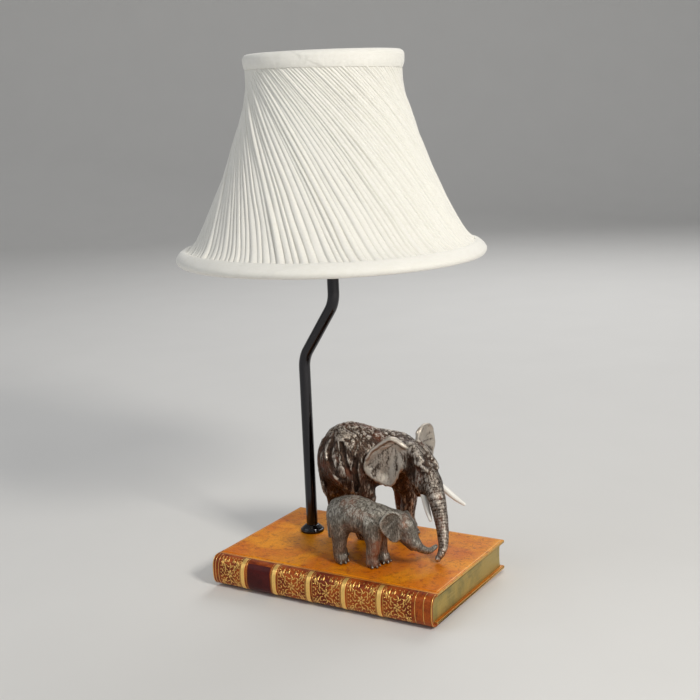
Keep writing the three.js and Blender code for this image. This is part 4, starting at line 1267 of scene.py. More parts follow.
@dataclass
class Bulb:
    """A small round opal bulb."""

    globe: float = 22.5
    centre: float = 391.0
    neck: float = 360.3

    def build(self) -> None:
        """Builds the glass and its screw cap."""
        turn = np.radians(np.linspace(-58.0, 88.0, 40))
        ball = np.column_stack([self.globe * np.cos(turn), self.centre + self.globe * np.sin(turn)])
        stem = catmull(np.array([[6.7, self.neck], [7.0, self.neck + 3.5], [8.6, self.neck + 8.0], ball[0]]), 6)
        outline = np.concatenate([[[0.01, self.neck]], stem[:-1], ball, [[0.01, self.centre + self.globe]]])
        glass = make_mesh("opal_globe", *lathe(outline, 72), sharp=60)
        fit_out(glass, "bulb", "opal_glass", OPAL, "bulb_glass")
        low, high = corners_of("bulb_cap")
        z0, z1, radius = low[2], high[2], (high[0] - low[0]) / 2
        outline = [(0.01, z0, 0.0), (2.4, z0, 0.3), (2.6, z0 + 1.0, 0.3), (5.4, z0 + 2.6, 0.4)]
        outline += threaded(radius, z0 + 3.4, z1 - 4.0, 2.8, 0.8)
        outline += [(radius - 0.6, z1 - 3.4, 0.2), (radius - 0.1, z1 + 0.2, 0.2), (0.01, z1 + 0.2, 0.0)]
        cap = make_mesh("screw_cap", *lathe(rounded(outline, 3), 56), sharp=50)
        fit_out(cap, "bulb", "bulb_cap_metal", ALUMINIUM, "bulb_cap")


# ---------- Shade ----------


@dataclass
class Shade:
    """The bell shade: swirl-pleated cover, plain lining, taped edges and the wire frame inside."""

    knots: Tuple[Pair, ...] = ((61.4, 441.0), (60.6, 426.0), (62.9, 408.6), (67.6, 392.0), (74.4, 371.3),
        (82.2, 350.2), (92.5, 326.0), (103.0, 304.4), (112.0, 290.7), (124.0, 281.3))
    pleats: int = 126
    rows: int = 60
    slant: Pair = (41.5, 34.0)
    depth: Pair = (1.1, 2.1)
    cover: float = 1.4
    lining: float = -1.8
    wire: float = 1.25
    rib: float = 1.0
    rib_start: float = 30.0
    fitter: float = 18.0
    fitter_low: float = 346.2
    fitter_high: float = 348.2
    arm: float = 1.1
    wide_side: float = 31.8
    seam: float = -76.0
    uneven: float = 0.3
    drift: float = 0.12

    def __post_init__(self) -> None:
        """Works out the frame line by its own length, and the swirl of the pleats."""
        self.curve = catmull(np.array(self.knots), 40)
        steps = np.linalg.norm(np.diff(self.curve, axis=0), axis=1)
        self.along = np.concatenate([[0.0], np.cumsum(steps)])
        self.length = self.along[-1]
        radius = self.curve[:, 0]
        sine = np.interp(self.along, (0.0, self.length), self.slant) / radius
        rate = sine / np.sqrt(1 - sine**2) / radius
        self.turned = np.concatenate([[0.0], np.cumsum(0.5 * (rate[1:] + rate[:-1]) * steps)])

    def beside(self, along: Array, off: Array) -> Array:
        """Points beside the frame line.

        Args:
            along: millimetres from the rim, which may run past either end.
            off: millimetres outwards.

        Returns:
            Radius and height, along the last axis.
        """
        inside = np.clip(along, 0.0, self.length)
        place = np.stack([np.interp(inside, self.along, self.curve[:, k]) for k in (0, 1)], axis=-1)
        tangent = np.gradient(self.curve, self.along, axis=0)
        heading = unit(np.stack([np.interp(inside, self.along, tangent[:, k]) for k in (0, 1)], axis=-1))
        outwards = np.stack([-heading[..., 1], heading[..., 0]], axis=-1)
        return place + heading * (along - inside)[..., None] + outwards * np.asarray(off)[..., None]

    def turn(self, along: Array, off: Array, angle: Array) -> Array:
        """Points in space from places beside the frame line and angles round the shade."""
        along, off, angle = np.broadcast_arrays(along, off, angle)
        place = self.beside(along, off)
        return np.stack([place[..., 0] * np.cos(angle), place[..., 0] * np.sin(angle), place[..., 1]], axis=-1)

    def add_cover(self) -> Piece:
        """The outer cloth, in narrow pleats of uneven width that swirl down from the rim."""
        chance = np.random.default_rng(7)
        wide = 1.0 + self.uneven * chance.uniform(-1, 1, self.pleats)
        start = np.concatenate([[0.0], np.cumsum(wide)])
        start *= FULL / start[-1]
        share = np.array([0.0, 0.05, 0.13, 0.25, 0.39, 0.53, 0.67, 0.79, 0.89, 0.95])
        which = np.repeat(np.arange(self.pleats), len(share))
        u = np.tile(share, self.pleats)
        phase = start[which] + u * np.diff(start)[which]
        tall = (1.0 + self.uneven * chance.uniform(-1, 1, self.pleats)) * wide**0.5
        crease = chance.uniform(0.3, 0.75, self.pleats)
        pinch = chance.uniform(0.0, 1.0, self.pleats) ** 2
        along = np.linspace(1.5, self.length - 2.5, self.rows)[:, None]
        t = along / self.length
        wander = cloudy(stacked(along / 26.0, which[None] * 1.7, 0.0), 5)
        swell = 1.0 + self.uneven * cloudy(stacked(along / 34.0, which[None] * 2.3, 0.0), 9)
        ridge = np.sin(pi * u**0.86) ** 0.62
        inner = np.exp(-(((u - crease[which]) / 0.09) ** 2)) * pinch[which] * 0.55
        fade = 1.0 - 0.45 * smoothstep(0.1, 0.8, t)
        depth = self.depth[0] + (self.depth[1] - self.depth[0]) * t
        off = self.cover + depth * tall[which] * swell * (ridge - inner * fade)
        twist = np.interp(along[:, 0], self.along, self.turned)[:, None]
        shift = wander * self.drift * (FULL / self.pleats)
        points = self.turn(along, off, phase + twist + shift)
        faces = grid_faces(self.rows, len(u), False, True)
        piece = make_mesh("pleated_cover", points.reshape(-1, 3), faces[:, ::-1], closed=False)
        return fit_out(piece, "shade", "shade_cloth", PLEATED, "shade_cover")

    def add_lining(self) -> Piece:
        """The plain inner cloth, pulled tight between the ribs."""
        angle = np.arange(288) * (FULL / 288)
        along = np.linspace(1.5, self.length - 2.5, 60)[:, None]
        between = np.abs(np.sin(3 * (angle - radians(self.rib_start))))
        pull = np.sin(pi * along / self.length) * between * 1.3
        gathers = 0.16 * np.sin(angle * 96 + 2 * np.sin(angle * 7)) * np.exp(-along / 22.0)
        hem = 0.2 * np.sin(angle * 72 + 3 * np.sin(angle * 5)) * np.exp(-(self.length - along) / 16.0)
        points = self.turn(along, self.lining - pull + gathers + hem, angle + 0 * along)
        piece = make_mesh("inner_lining", points.reshape(-1, 3), grid_faces(60, 288, False, True), closed=False)
        return fit_out(piece, "shade", "lining_cloth", LINING, "shade_lining")

    def binding(self, name: str, node: str, outline: Array, lip: Callable, from_hem: bool) -> Piece:
        """A soft tape folded over one edge.

        Args:
            name: the piece's name.
            node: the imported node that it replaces.
            outline: its section, as [millimetres in from the edge, millimetres outwards].
            lip: gives how far the outer lip is stretched at each angle.
            from_hem: it is on the hem, and not on the rim.

        Returns:
            The new piece.
        """
        sides = 480
        angle = np.arange(sides)[:, None] * (FULL / sides)
        deep, off = outline[None, :, 0], outline[None, :, 1]
        outside = off > 0
        stretch = np.where(outside & (deep > 0), lip(angle), 1.0)
        edge = smoothstep(0.0, outline[:, 0].max(), deep)
        ring = stacked(np.cos(angle) * 26.0, np.sin(angle) * 26.0, deep * 0.16)
        pucker = cloudy(ring, 3, 2)
        soft = cloudy(ring * 0.16, 4, 2)
        lift = pucker * (0.1 + 0.2 * edge) + soft * 0.35
        seam = radians(self.seam) + deep * 0.03
        gap = (angle - seam + pi) % FULL - pi
        fold = 0.4 * smoothstep(-0.012, 0.004, gap) * np.exp(-np.maximum(gap, 0) / 0.16)
        fold -= 0.25 * np.exp(-(((gap + 0.02) / 0.012) ** 2))
        off = off + np.sign(off) * np.minimum(np.abs(off) / 2.0, 1.0) * (lift + fold * outside)
        along = deep * stretch
        if from_hem:
            along = self.length - along
        points = self.turn(along, off, angle)
        faces = grid_faces(sides, len(outline), True, True)
        piece = make_mesh(name, points.reshape(-1, 3), faces)
        fit_out(piece, "shade", "binding_tape", TAPE, node)
        return piece

    def add_bindings(self) -> List[Piece]:
        """The tape over the rim, and the plump rolled tape over the hem."""
        channel = [(2.5, -2.4, 1.0), (0.0, -1.6, 1.0), (0.0, 1.6, 1.0), (2.5, 2.4, 1.0)]
        top = [(10.4, 2.9, 0.7), (6.5, 4.3, 2.6), (-1.0, 3.9, 2.3), (-3.5, 0.0, 2.2), (-1.0, -3.9, 2.5)]
        top += [(6.0, -4.0, 2.0), (9.8, -2.7, 0.6), (9.6, -2.3, 0.2), *channel, (9.9, 2.2, 0.2)]
        hem = [(8.6, 3.2, 0.8), (6.8, 5.4, 1.8), (1.8, 5.6, 3.0), (-3.8, 3.8, 2.6), (-4.2, -1.6, 2.6)]
        hem += [(0.6, -4.2, 2.4), (7.0, -3.5, 1.5), (7.8, -2.5, 0.4), *channel, (8.0, 2.2, 0.3)]
        wide = radians(self.wide_side)
        tapes = (("rim_tape", "top_binding", top, lambda a: 1.0 + 0.14 * np.cos(a - wide), False),
            ("hem_tape", "hem_binding", hem, lambda a: 1.0 + 0.05 * np.sin(3 * a + 1), True))
        return [self.binding(name, node, rounded(outline, 6), lip, low) for name, node, outline, lip, low in tapes]

    def add_frame(self) -> None:
        """The wire rings, the six ribs, and the fitter with its three arms."""
        turn = np.arange(16) * (FULL / 16)
        for name, node, along in (("rim_wire", "top_ring", 0.0), ("hem_wire", "hem_ring", self.length)):
            place = self.beside(np.array(along), np.array(0.0))
            section = place + self.wire * np.column_stack([np.cos(turn), np.sin(turn)])
            piece = make_mesh(name, *lathe(section, 180))
            fit_out(piece, "shade", "frame_wire", WIRE, node)
        for k in range(6):
            angle = radians(self.rib_start + 60 * k)
            along = np.linspace(3.5, self.length - 3.9, 60)
            line = self.turn(along, 0 * along, angle + 0 * along)
            piece = make_mesh(f"wire_rib_{k + 1}", *domed(line, self.rib, 14))
            fit_out(piece, "shade", "frame_wire", WIRE, f"rib_{k + 1}")
        mid = (self.fitter_low + self.fitter_high) / 2
        hub = [(14.1, self.fitter_low, 0.3), (self.fitter, self.fitter_low, 0.4)]
        hub += [(self.fitter, self.fitter_high, 0.4), (14.1, self.fitter_high, 0.3)]
        bends = [(self.fitter - 0.8, mid), (28, mid + 2), (40, mid + 21), (48, mid + 54), (54, mid + 81),
            (56.2, 440.0)]
        line = catmull(np.array(bends), 10)
        parts = [lathe(rounded(hub, 3), 96)]
        for degrees in (30, 150, 270):
            angle = radians(degrees)
            path = np.column_stack([line[:, 0] * cos(angle), line[:, 0] * sin(angle), line[:, 1]])
            parts.append(domed(path, self.arm, 14))
        fit_out(make_mesh("fitter_spider", *joined(parts), sharp=50), "shade", "frame_wire", WIRE, "fitter_ring")

    def build(self) -> None:
        """Builds the shade: its frame, cover, lining and tapes."""
        self.add_frame()
        cover = self.add_cover()
        lining = self.add_lining()
        tapes = self.add_bindings()


# ---------- Elephants ----------


@dataclass(frozen=True)
class Skin:
    """How a region of hide is creased, in millimetres.

    Creases are a mesh of fine cracks, folds are longer and run upright, and rings run round a limb. The rub value
    shifts how bright the hide is: partly rubbed wear, partly painted highlight and painted shade.
    """

    crease: float
    crease_depth: float
    fold: float = 6.0
    fold_depth: float = 0.0
    upright: float = 1.0
    ring: float = 0.0
    ring_depth: float = 0.0
    rub: float = 0.0


class Hide(Enum):
    """The kinds of hide on an elephant."""

    FLANK = Skin(2.4, 0.2, 4.2, 0.75, 0.2)
    # The legs' rub is raised partly for wear and partly as a painted highlight on the lit legs.
    LEG = Skin(2.4, 0.2, 4.0, 0.45, 0.3, 4.2, 0.22, 0.12)
    TRUNK = Skin(2.2, 0.16, 4.0, 0.1, 1.0, 2.5, 0.55, 0.08)
    # The head's rub is raised partly for wear and partly as a painted highlight on the forehead.
    HEAD = Skin(2.0, 0.18, 3.6, 0.32, 0.5, rub=0.1)
    EAR = Skin(2.2, 0.06, rub=0.36)
    TAIL = Skin(1.8, 0.12, 2.0, 0.2, 0.3, rub=-0.05)
    # The calf's rub is raised partly for wear and partly as painted highlights on its lit back.
    CALF = Skin(1.7, 0.05, 2.4, 0.2, 0.16, rub=0.08)
    # The calf's head rub is raised partly for wear and partly as a painted highlight on its forehead.
    CALF_HEAD = Skin(1.9, 0.07, 4.0, 0.1, 0.6, rub=0.12)
    # The calf's ears have their rub lowered, which paints shade on them.
    CALF_EAR = Skin(2.2, 0.04, rub=-0.16)
    NAIL = Skin(2.0, 0.02, rub=-0.3)
    EYE = Skin(2.0, 0.0, rub=-0.4)


def bar_distance(points: Array, balls: Array) -> Tuple[Array, Array]:
    """How far points are from a row of balls joined by cones, and how far along it they lie.

    Args:
        points: places along the last axis.
        balls: x, y, z and radius of each.

    Returns:
        Distances, and lengths along the row.
    """
    best = np.full(points.shape[:-1], FAR, np.float32)
    where = np.zeros_like(best)
    walked = 0.0
    for a, b in zip(balls[:-1], balls[1:]):
        step = b[:3] - a[:3]
        size = float(step @ step)
        gap = points - a[:3]
        t = np.clip(gap @ step / max(size, 1e-9), 0.0, 1.0)
        away = gap - t[..., None] * step
        d = np.sqrt(np.einsum("...i,...i", away, away)) - (a[3] + t * (b[3] - a[3]))
        nearer = d < best
        best = np.where(nearer, d, best)
        where = np.where(nearer, walked + t * sqrt(size), where)
        walked += sqrt(size)
    return best, where


def outline_distance(points: Array, outline: Array) -> Array:
    """How far flat points are from a closed outline, less than zero inside it."""
    best = np.full(points.shape[:-1], FAR)
    inside = np.zeros(points.shape[:-1], bool)
    for a, b in zip(outline, np.roll(outline, -1, axis=0)):
        step, gap = b - a, points - a
        t = np.clip(gap @ step / max(float(step @ step), 1e-9), 0.0, 1.0)
        best = np.minimum(best, np.linalg.norm(gap - t[..., None] * step, axis=-1))
        crosses = (a[1] > points[..., 1]) != (b[1] > points[..., 1])
        side = step[0] * (points[..., 1] - a[1]) / (step[1] if abs(step[1]) > 1e-9 else 1e-9) + a[0]
        inside ^= crosses & (points[..., 0] < side)
    return np.where(inside, -best, best)


class Clay:
    """A lump of clay, held as distances on a grid, that limbs are pressed onto."""

    def __init__(self, low: Sequence[float], high: Sequence[float], step: float) -> None:
        """Starts with an empty grid."""
        self.low, self.step = np.array(low, float), step
        count = np.ceil((np.array(high) - self.low) / step).astype(int) + 1
        self.field = np.full(count, 30.0, np.float32)
        self.limbs: List[Tuple[Hide, Array]] = []

    def window(self, low: Array, high: Array) -> Tuple[Tuple[slice, ...], Array]:
        """The part of the grid between two corners, and its points."""
        first = np.maximum(np.floor((low - self.low) / self.step).astype(int), 0)
        last = np.minimum(np.ceil((high - self.low) / self.step).astype(int) + 1, self.field.shape)
        part = tuple(slice(a, b) for a, b in zip(first, last))
        axes = [self.low[k] + self.step * np.arange(first[k], last[k]) for k in range(3)]
        return part, np.stack(np.meshgrid(*axes, indexing="ij"), axis=-1).astype(np.float32)

    def press(self, part: Tuple[slice, ...], distance: Array, blend: float) -> None:
        """Joins a shape on, with a fillet of the given size."""
        had = self.field[part]
        soft = np.clip(blend - np.abs(had - distance), 0.0, None) / blend
        self.field[part] = np.minimum(had, distance) - soft * soft * blend / 4

    def carve(self, part: Tuple[slice, ...], distance: Array, blend: float) -> None:
        """Takes a shape away, with a fillet of the given size."""
        had = self.field[part]
        soft = np.clip(blend - np.abs(had + distance), 0.0, None) / blend
        self.field[part] = np.maximum(had, -distance) + soft * soft * blend / 4

    def near(self, balls: Array, spans: int, blend: float) -> Tuple[Array, Tuple[slice, ...], Array]:
        """A smooth row through balls, the grid about it, and how far that is from it."""
        row = catmull(np.array(balls, float), spans) if len(balls) > 1 else np.repeat(balls, 2, axis=0)
        row = row.astype(np.float32)
        reach = row[:, 3].max() + blend + 3.0
        part, points = self.window(row[:, :3].min(0) - reach, row[:, :3].max(0) + reach)
        return row, part, bar_distance(points, row)[0]

    def limb(self, balls: Array, hide: Hide, blend: float, spans: int = 4) -> None:
        """Adds a smooth limb through a row of balls."""
        row, part, gap = self.near(balls, spans, blend)
        self.press(part, gap, blend)
        self.limbs.append((hide, row))

    def hollow(self, ball: Ball, blend: float) -> None:
        """Presses a round hollow into the clay."""
        centre = np.array(ball[:3])
        part, points = self.window(centre - ball[3] - 4, centre + ball[3] + 4)
        self.carve(part, np.linalg.norm(points - centre, axis=-1) - ball[3], blend)

    def groove(self, balls: Array, blend: float) -> None:
        """Presses a long hollow into the clay."""
        _, part, gap = self.near(balls, 4, blend)
        self.carve(part, gap, blend)

    def sample(self, field: Array, points: Array) -> Array:
        """Grid values at any points."""
        spot = (points - self.low) / self.step
        cell = np.clip(np.floor(spot).astype(int), 0, np.array(field.shape[:3]) - 2)
        f = spot - cell
        total = 0.0
        for corner in np.ndindex(2, 2, 2):
            share = np.prod(np.where(np.array(corner) == 1, f, 1 - f), axis=-1)
            at = tuple((cell + np.array(corner)).T)
            values = field[at]
            total = total + (share if values.ndim == 1 else share[:, None]) * values
        return total

    def surface_along(self, start: Array, way: Array) -> Array:
        """Where a line out of the clay leaves it."""
        line = start + unit(np.array(way, float)) * np.arange(0.0, 30.0, 0.1)[:, None]
        return line[np.argmax(self.sample(self.field, line) > 0)]

    def skin(self) -> Tuple[Array, Array]:
        """The clay's surface, as points and four-sided faces that look outwards."""
        inside = self.field < 0
        size = np.array(inside.shape) - 1
        corners = list(np.ndindex(2, 2, 2))
        views = [inside[tuple(slice(c, c + n) for c, n in zip(corner, size))] for corner in corners]
        full = np.sum(views, axis=0)
        cells = np.argwhere((full > 0) & (full < 8))
        number = np.full(size, -1)
        number[tuple(cells.T)] = np.arange(len(cells))
        values = np.stack([self.field[tuple((cells + np.array(c)).T)] for c in corners], axis=1)
        total, count = np.zeros((len(cells), 3)), np.zeros(len(cells))
        for i, a in enumerate(corners):
            for j, b in enumerate(corners):
                if j <= i or sum(abs(x - y) for x, y in zip(a, b)) != 1:
                    continue
                cut = (values[:, i] < 0) != (values[:, j] < 0)
                t = np.where(cut, values[:, i] / np.where(cut, values[:, i] - values[:, j], 1.0), 0.0)
                place = np.array(a) + t[:, None] * (np.array(b) - np.array(a))
                total += place * cut[:, None]
                count += cut
        points = self.low + (cells + total / count[:, None]) * self.step
        faces = []
        for axis in range(3):
            u, v = (axis + 1) % 3, (axis + 2) % 3
            head = [slice(None)] * 3
            tail = [slice(None)] * 3
            head[axis], tail[axis] = slice(0, -1), slice(1, None)
            change = inside[tuple(head)].astype(int) - inside[tuple(tail)]
            for sign in (1, -1):
                edge = np.argwhere(change == sign)
                spot = edge[:, [u, v]]
                edge = edge[np.all((spot > 0) & (spot < size[[u, v]]), axis=1)]
                ring = [(0, 0), (-1, 0), (-1, -1), (0, -1)][::sign]
                quad = []
                for du, dv in ring:
                    cell = edge.copy()
                    cell[:, u] += du
                    cell[:, v] += dv
                    quad.append(number[tuple(cell.T)])
                faces.append(np.stack(quad, axis=1))
        return points, np.concatenate(faces)


@dataclass
class Ear:
    """A thin dished flap that stands upright at a heading, with a rolled rim."""

    at: Pair
    heading: float
    outline: Tuple[Pair, ...]
    thickness: float
    dish: float
    rim: Tuple[Colour, ...]
    rim_radius: float
    fan: Pair
    scallop: float = 0.35
    hide: Hide = Hide.EAR

    def axes(self) -> Tuple[Array, Array]:
        """Directions along the flap, and out of its hollow side."""
        a = radians(self.heading)
        return np.array([cos(a), sin(a), 0.0]), np.array([-sin(a), cos(a), 0.0])

    def place(self, along: float, height: float, off: float) -> Array:
        """A point from its place on the flap."""
        forward, out = self.axes()
        return np.array([*self.at, 0.0]) + forward * along + out * off + np.array([0.0, 0.0, height])

    def flat(self, points: Array) -> Tuple[Array, Array, Array]:
        """How far points are along the flap, up, and out of it."""
        forward, out = self.axes()
        gap = points - np.array([*self.at, 0.0])
        return gap @ forward, points[..., 2], gap @ out

    def press_into(self, clay: Clay) -> None:
        """Adds the flap and its rim to the clay."""
        knots = np.array(self.outline, float)
        closed = catmull(np.concatenate([knots[-2:], knots, knots[:3]]), 6)[12:-12]
        middle = knots.mean(0)
        round_it = np.arctan2(closed[:, 1] - middle[1], closed[:, 0] - middle[0])
        low_edge = smoothstep(0.0, -0.8, np.sin(round_it))
        closed += unit(closed - middle) * (self.scallop * low_edge * np.sin(round_it * 26))[:, None]
        low, high = knots.min(0) - 6, knots.max(0) + 6
        corners = [self.place(a, z, n) for a in (low[0], high[0]) for z in (low[1], high[1]) for n in (-9, 9)]
        part, points = clay.window(np.min(corners, axis=0), np.max(corners, axis=0))
        along, height, off = self.flat(points)
        spot = np.stack([along, height], axis=-1)
        axes = [np.arange(low[k] - 4, high[k] + 4, 0.5) for k in (0, 1)]
        grid = np.stack(np.meshgrid(*axes, indexing="ij"), axis=-1)
        table = outline_distance(grid, closed)
        cell = np.clip((spot - grid[0, 0]) / 0.5, 0, np.array(table.shape) - 1.001)
        base = cell.astype(int)
        f = cell - base
        i, j = base[..., 0], base[..., 1]
        edge = (table[i, j] * (1 - f[..., 0]) + table[i + 1, j] * f[..., 0]) * (1 - f[..., 1])
        edge += (table[i, j + 1] * (1 - f[..., 0]) + table[i + 1, j + 1] * f[..., 0]) * f[..., 1]
        ripple = 0.5 * np.sin(along * 0.35 + height * 0.12)
        sunk = -self.dish * smoothstep(0.5, 10.0, -edge) + ripple
        half = self.thickness * (0.36 + 0.14 * smoothstep(-1.5, -8.0, edge))
        slab_gap = np.abs(off - sunk) - half
        soft = np.clip(1.6 - np.abs(slab_gap - edge), 0, None) / 1.6
        clay.press(part, np.maximum(slab_gap, edge) + soft * soft * 0.4, 1.6)
        clay.limbs.append((self.hide, np.array([[*self.place(a, z, 0.0), 0.0] for a, z in knots[:-1]], np.float32)))
        rim = np.array([[*self.place(a, z, off), self.rim_radius] for a, z, off in self.rim])
        rim[:, 3] *= np.linspace(1.0, 0.45, len(rim))
        rim[0, 3] *= 0.6
        clay.limb(rim, self.hide, 1.6, 5)


@dataclass(frozen=True)
class Fillets:
    """How softly the parts of an elephant run into each other, in millimetres at the cow's size."""

    torso: float = 6.0
    padding: float = 9.0
    leg: float = 5.0
    neck: float = 8.0
    face: float = 5.0
    feature: float = 3.0
    trunk: float = 4.0
    fold: float = 2.2
    hollow: float = 4.0
    tail: float = 1.6
    sole: float = 0.6


@dataclass
class Elephant:
    """A cast elephant: limbs in the body's and the head's own frames, and what dresses it."""

    piece: str
    node: str
    slot: str
    finish: Finish
    step: float
    origin: Colour
    heading: float
    head_origin: Colour
    head_heading: float
    hides: Tuple[Hide, Hide, Hide]
    torso: Row
    padding: Tuple[Row, ...]
    legs: Tuple[Row, ...]
    neck: Tuple[Ball, Ball]
    face: Row
    features: Tuple[Row, ...]
    folds: Tuple[Row, ...]
    hollows: Tuple[Row, ...]
    trunk: Row
    tail: Row
    ears: Tuple[Ear, ...]
    eye: Colour
    eye_size: float
    nail: float
    size: float = 1.0
    floor: float = 28.44
    margin: float = 3.0
    fillets: Fillets = Fillets()

    def framed(self, balls: Sequence[Ball], origin: Colour, heading: float) -> Array:
        """Balls carried from a frame at an origin and heading to the lamp's own."""
        a, b = radians(heading), np.array(balls, float)
        x = origin[0] + b[:, 0] * cos(a) - b[:, 1] * sin(a)
        y = origin[1] + b[:, 0] * sin(a) + b[:, 1] * cos(a)
        return np.column_stack([x, y, origin[2] + b[:, 2], b[:, 3]])

    def body(self, balls: Sequence[Ball]) -> Array:
        """Balls from the body's frame."""
        return self.framed(balls, self.origin, self.heading)

    def head(self, balls: Sequence[Ball]) -> Array:
        """Balls from the head's frame."""
        return self.framed(balls, self.head_origin, self.head_heading)

    def shape(self) -> Clay:
        """Presses the whole animal together."""
        rows = [self.body(r) for r in (self.torso, *self.padding, *self.legs, self.tail)]
        rows += [self.head(r) for r in (self.face, *self.features)] + [np.array(self.trunk)]
        every = np.concatenate(rows)
        ends = [ear.place(a, z, n) for ear in self.ears for a, z in ear.outline for n in (-4, 4)]
        low = np.minimum((every[:, :3] - every[:, 3:]).min(0), np.min(ends, axis=0)) - self.margin
        high = np.maximum((every[:, :3] + every[:, 3:]).max(0), np.max(ends, axis=0)) + self.margin
        low[2] = self.floor - self.margin
        clay = Clay(low, high, self.step)
        flank, leg, skull = self.hides
        s, soft = self.size, self.fillets
        clay.limb(self.body(self.torso), flank, soft.torso * s)
        for row in self.padding:
            clay.limb(self.body(row), flank, soft.padding * s)
        for row in self.legs:
            clay.limb(self.body(row), leg, soft.leg * s)
        neck = np.concatenate([self.body(self.neck[:1]), self.head(self.neck[1:])])
        clay.limb(neck, flank, soft.neck * s)
        face = self.head(self.face)
        clay.limb(face, skull, soft.face * s)
        for row in self.features:
            clay.limb(self.head(row), skull, soft.feature * s)
        clay.limb(np.concatenate([face[-1:], np.array(self.trunk)]), Hide.TRUNK, soft.trunk * s)
        for side in (-1, 1):
            across = np.array([1.0, side, 1.0, 1.0])
            for row in self.folds:
                clay.groove(self.body(np.array(row) * across), soft.fold * s)
            for row in self.hollows:
                clay.groove(self.head(np.array(row) * across), soft.hollow * s)
        clay.limb(self.body(self.tail), Hide.TAIL, soft.tail)
        for ear in self.ears:
            ear.press_into(clay)
        for side in (-1, 1):
            self.add_eye(clay, side)
        self.add_nails(clay)
        part, points = clay.window(low, np.array([*high[:2], self.floor + 2]))
        clay.carve(part, points[..., 2] - self.floor, soft.sole)
        return clay

    def add_eye(self, clay: Clay, side: int) -> None:
        """Sets an eye in a shallow socket between two lids."""
        forward, left, up = self.eye
        centre = self.head([(forward - 3, 0, up, 0)])[0, :3]
        aim = self.head([(forward, left * side, up, 0)])[0, :3]
        spot = clay.surface_along(centre, aim - centre)
        out = unit(aim - centre)
        r = self.eye_size
        clay.hollow((*(spot + out * 0.5 * r), 1.35 * r), 1.2)
        clay.limb(np.array([[*(spot - out * 0.45 * r), r]]), Hide.EYE, 0.4)
        ahead = unit(self.head([(1, 0, 0, 0)])[0, :3] - self.head([(0, 0, 0, 0)])[0, :3])
        for lift in (-1, 1):
            arc = []
            for t in np.linspace(-1, 1, 5):
                rise = np.array([0.0, 0.0, lift * 0.75 * r * (1 - t * t) + 0.1])
                arc.append([*(spot + ahead * t * 1.35 * r + rise + out * (0.12 - 0.3 * t * t) * r), 0.36 * r])
            clay.limb(np.array(arc), self.hides[2], 0.5 * r, 3)

    def add_nails(self, clay: Clay) -> None:
        """Puts four nails round the front of each foot."""
        for leg in self.legs:
            forward, left, _, radius = leg[-1]
            for degrees in (-66, -24, 20, 62):
                a = radians(degrees)
                reach = radius + 0.15 * self.nail
                ball = (forward + reach * cos(a), left + reach * sin(a), 0.9 * self.nail, self.nail)
                back = 0.92 * reach
                top = (forward + back * cos(a), left + back * sin(a), 2.0 * self.nail, 0.6 * self.nail)
                clay.limb(self.body([ball, top]), Hide.NAIL, 0.5, 2)

    def wrinkle(self, clay: Clay, points: Array, curve: Array) -> Tuple[Array, Array]:
        """How far the hide rises or sinks at each point, and how bright it is: rubbed wear with painted highlights
        and painted shade mixed in.

        Args:
            clay: the shaped animal.
            points: places on its surface.
            curve: how far the surface bends outwards at each, which the thin ears leave out.

        Returns:
            Heights in millimetres, and rubbing from 0 to 1 and somewhat beyond, which also carries painted
            highlights and painted shade.
        """
        near = {hide: np.full(len(points), FAR) for hide in Hide}
        walked = np.zeros(len(points))
        for hide, row in clay.limbs:
            d, u = bar_distance(points, row)
            closer = d < near[hide]
            near[hide] = np.where(closer, d, near[hide])
            if hide is Hide.TRUNK or hide is self.hides[1]:
                walked = np.where(closer, u, walked)
        ear_gap = np.full(len(points), FAR)
        crease_turn = np.zeros(len(points))
        ear_edge = np.zeros(len(points))
        for ear in self.ears:
            along, height, off = ear.flat(points)
            knots = np.array(ear.outline)
            edge = outline_distance(np.stack([along, height], axis=-1), knots)
            gap = np.maximum(np.abs(off + 0.5 * ear.dish) - ear.dish - 1.0, edge)
            closer = gap < ear_gap
            ear_gap = np.where(closer, gap, ear_gap)
            turn = np.arctan2(ear.fan[1] - height, along - ear.fan[0])
            crease_turn = np.where(closer, turn, crease_turn)
            ear_edge = np.where(closer, smoothstep(-4.2, -1.2, edge), ear_edge)
        flap = self.ears[0].hide
        near[flap] = np.minimum(near[flap], ear_gap)
        nearest = np.min(list(near.values()), axis=0)
        share = {hide: np.exp(-(gap - nearest) / 1.1) for hide, gap in near.items()}
        total = np.sum(list(share.values()), axis=0)
        s = self.size
        bent = points + 1.4 * s * np.stack([cloudy(points / (7 * s), k) for k in (21, 22, 23)], axis=-1)
        rise = np.zeros(len(points))
        rub = 0.3 + 0.5 * np.clip(curve * s, -0.7, 0.6) * (1 - (1 - ear_edge) * share[flap] / total)
        for hide in Hide:
            weight = share[hide] / total
            on = weight > 0.03
            if not on.any():
                continue
            skin, p, w = hide.value, bent[on], weight[on]
            lifted = np.zeros(on.sum())
            if skin.crease_depth:
                pull = np.array([1.0, 1.0, 0.5 + 0.5 * skin.upright]) / skin.crease
                lifted -= skin.crease_depth * (1 - smoothstep(0.0, 0.42, cracks(p * pull, 31)))
                lifted -= 0.4 * skin.crease_depth * (1 - smoothstep(0.0, 0.5, cracks(p * pull * 2.1, 37)))
            if skin.fold_depth:
                pull = np.array([1.0, 1.0, skin.upright]) / skin.fold
                lifted -= skin.fold_depth * (1 - smoothstep(0.0, 0.34, np.abs(cloudy(p * pull, 41, 2))))
                lifted -= 0.5 * skin.fold_depth * (1 - smoothstep(0.0, 0.34, np.abs(cloudy(p * pull * 2.2, 43, 2))))
            if skin.ring_depth:
                phase = walked[on] / skin.ring + 0.35 * cloudy(p / 5.0, 47)
                lifted -= skin.ring_depth * (1 - np.abs(np.sin(pi * phase)) ** 0.5)
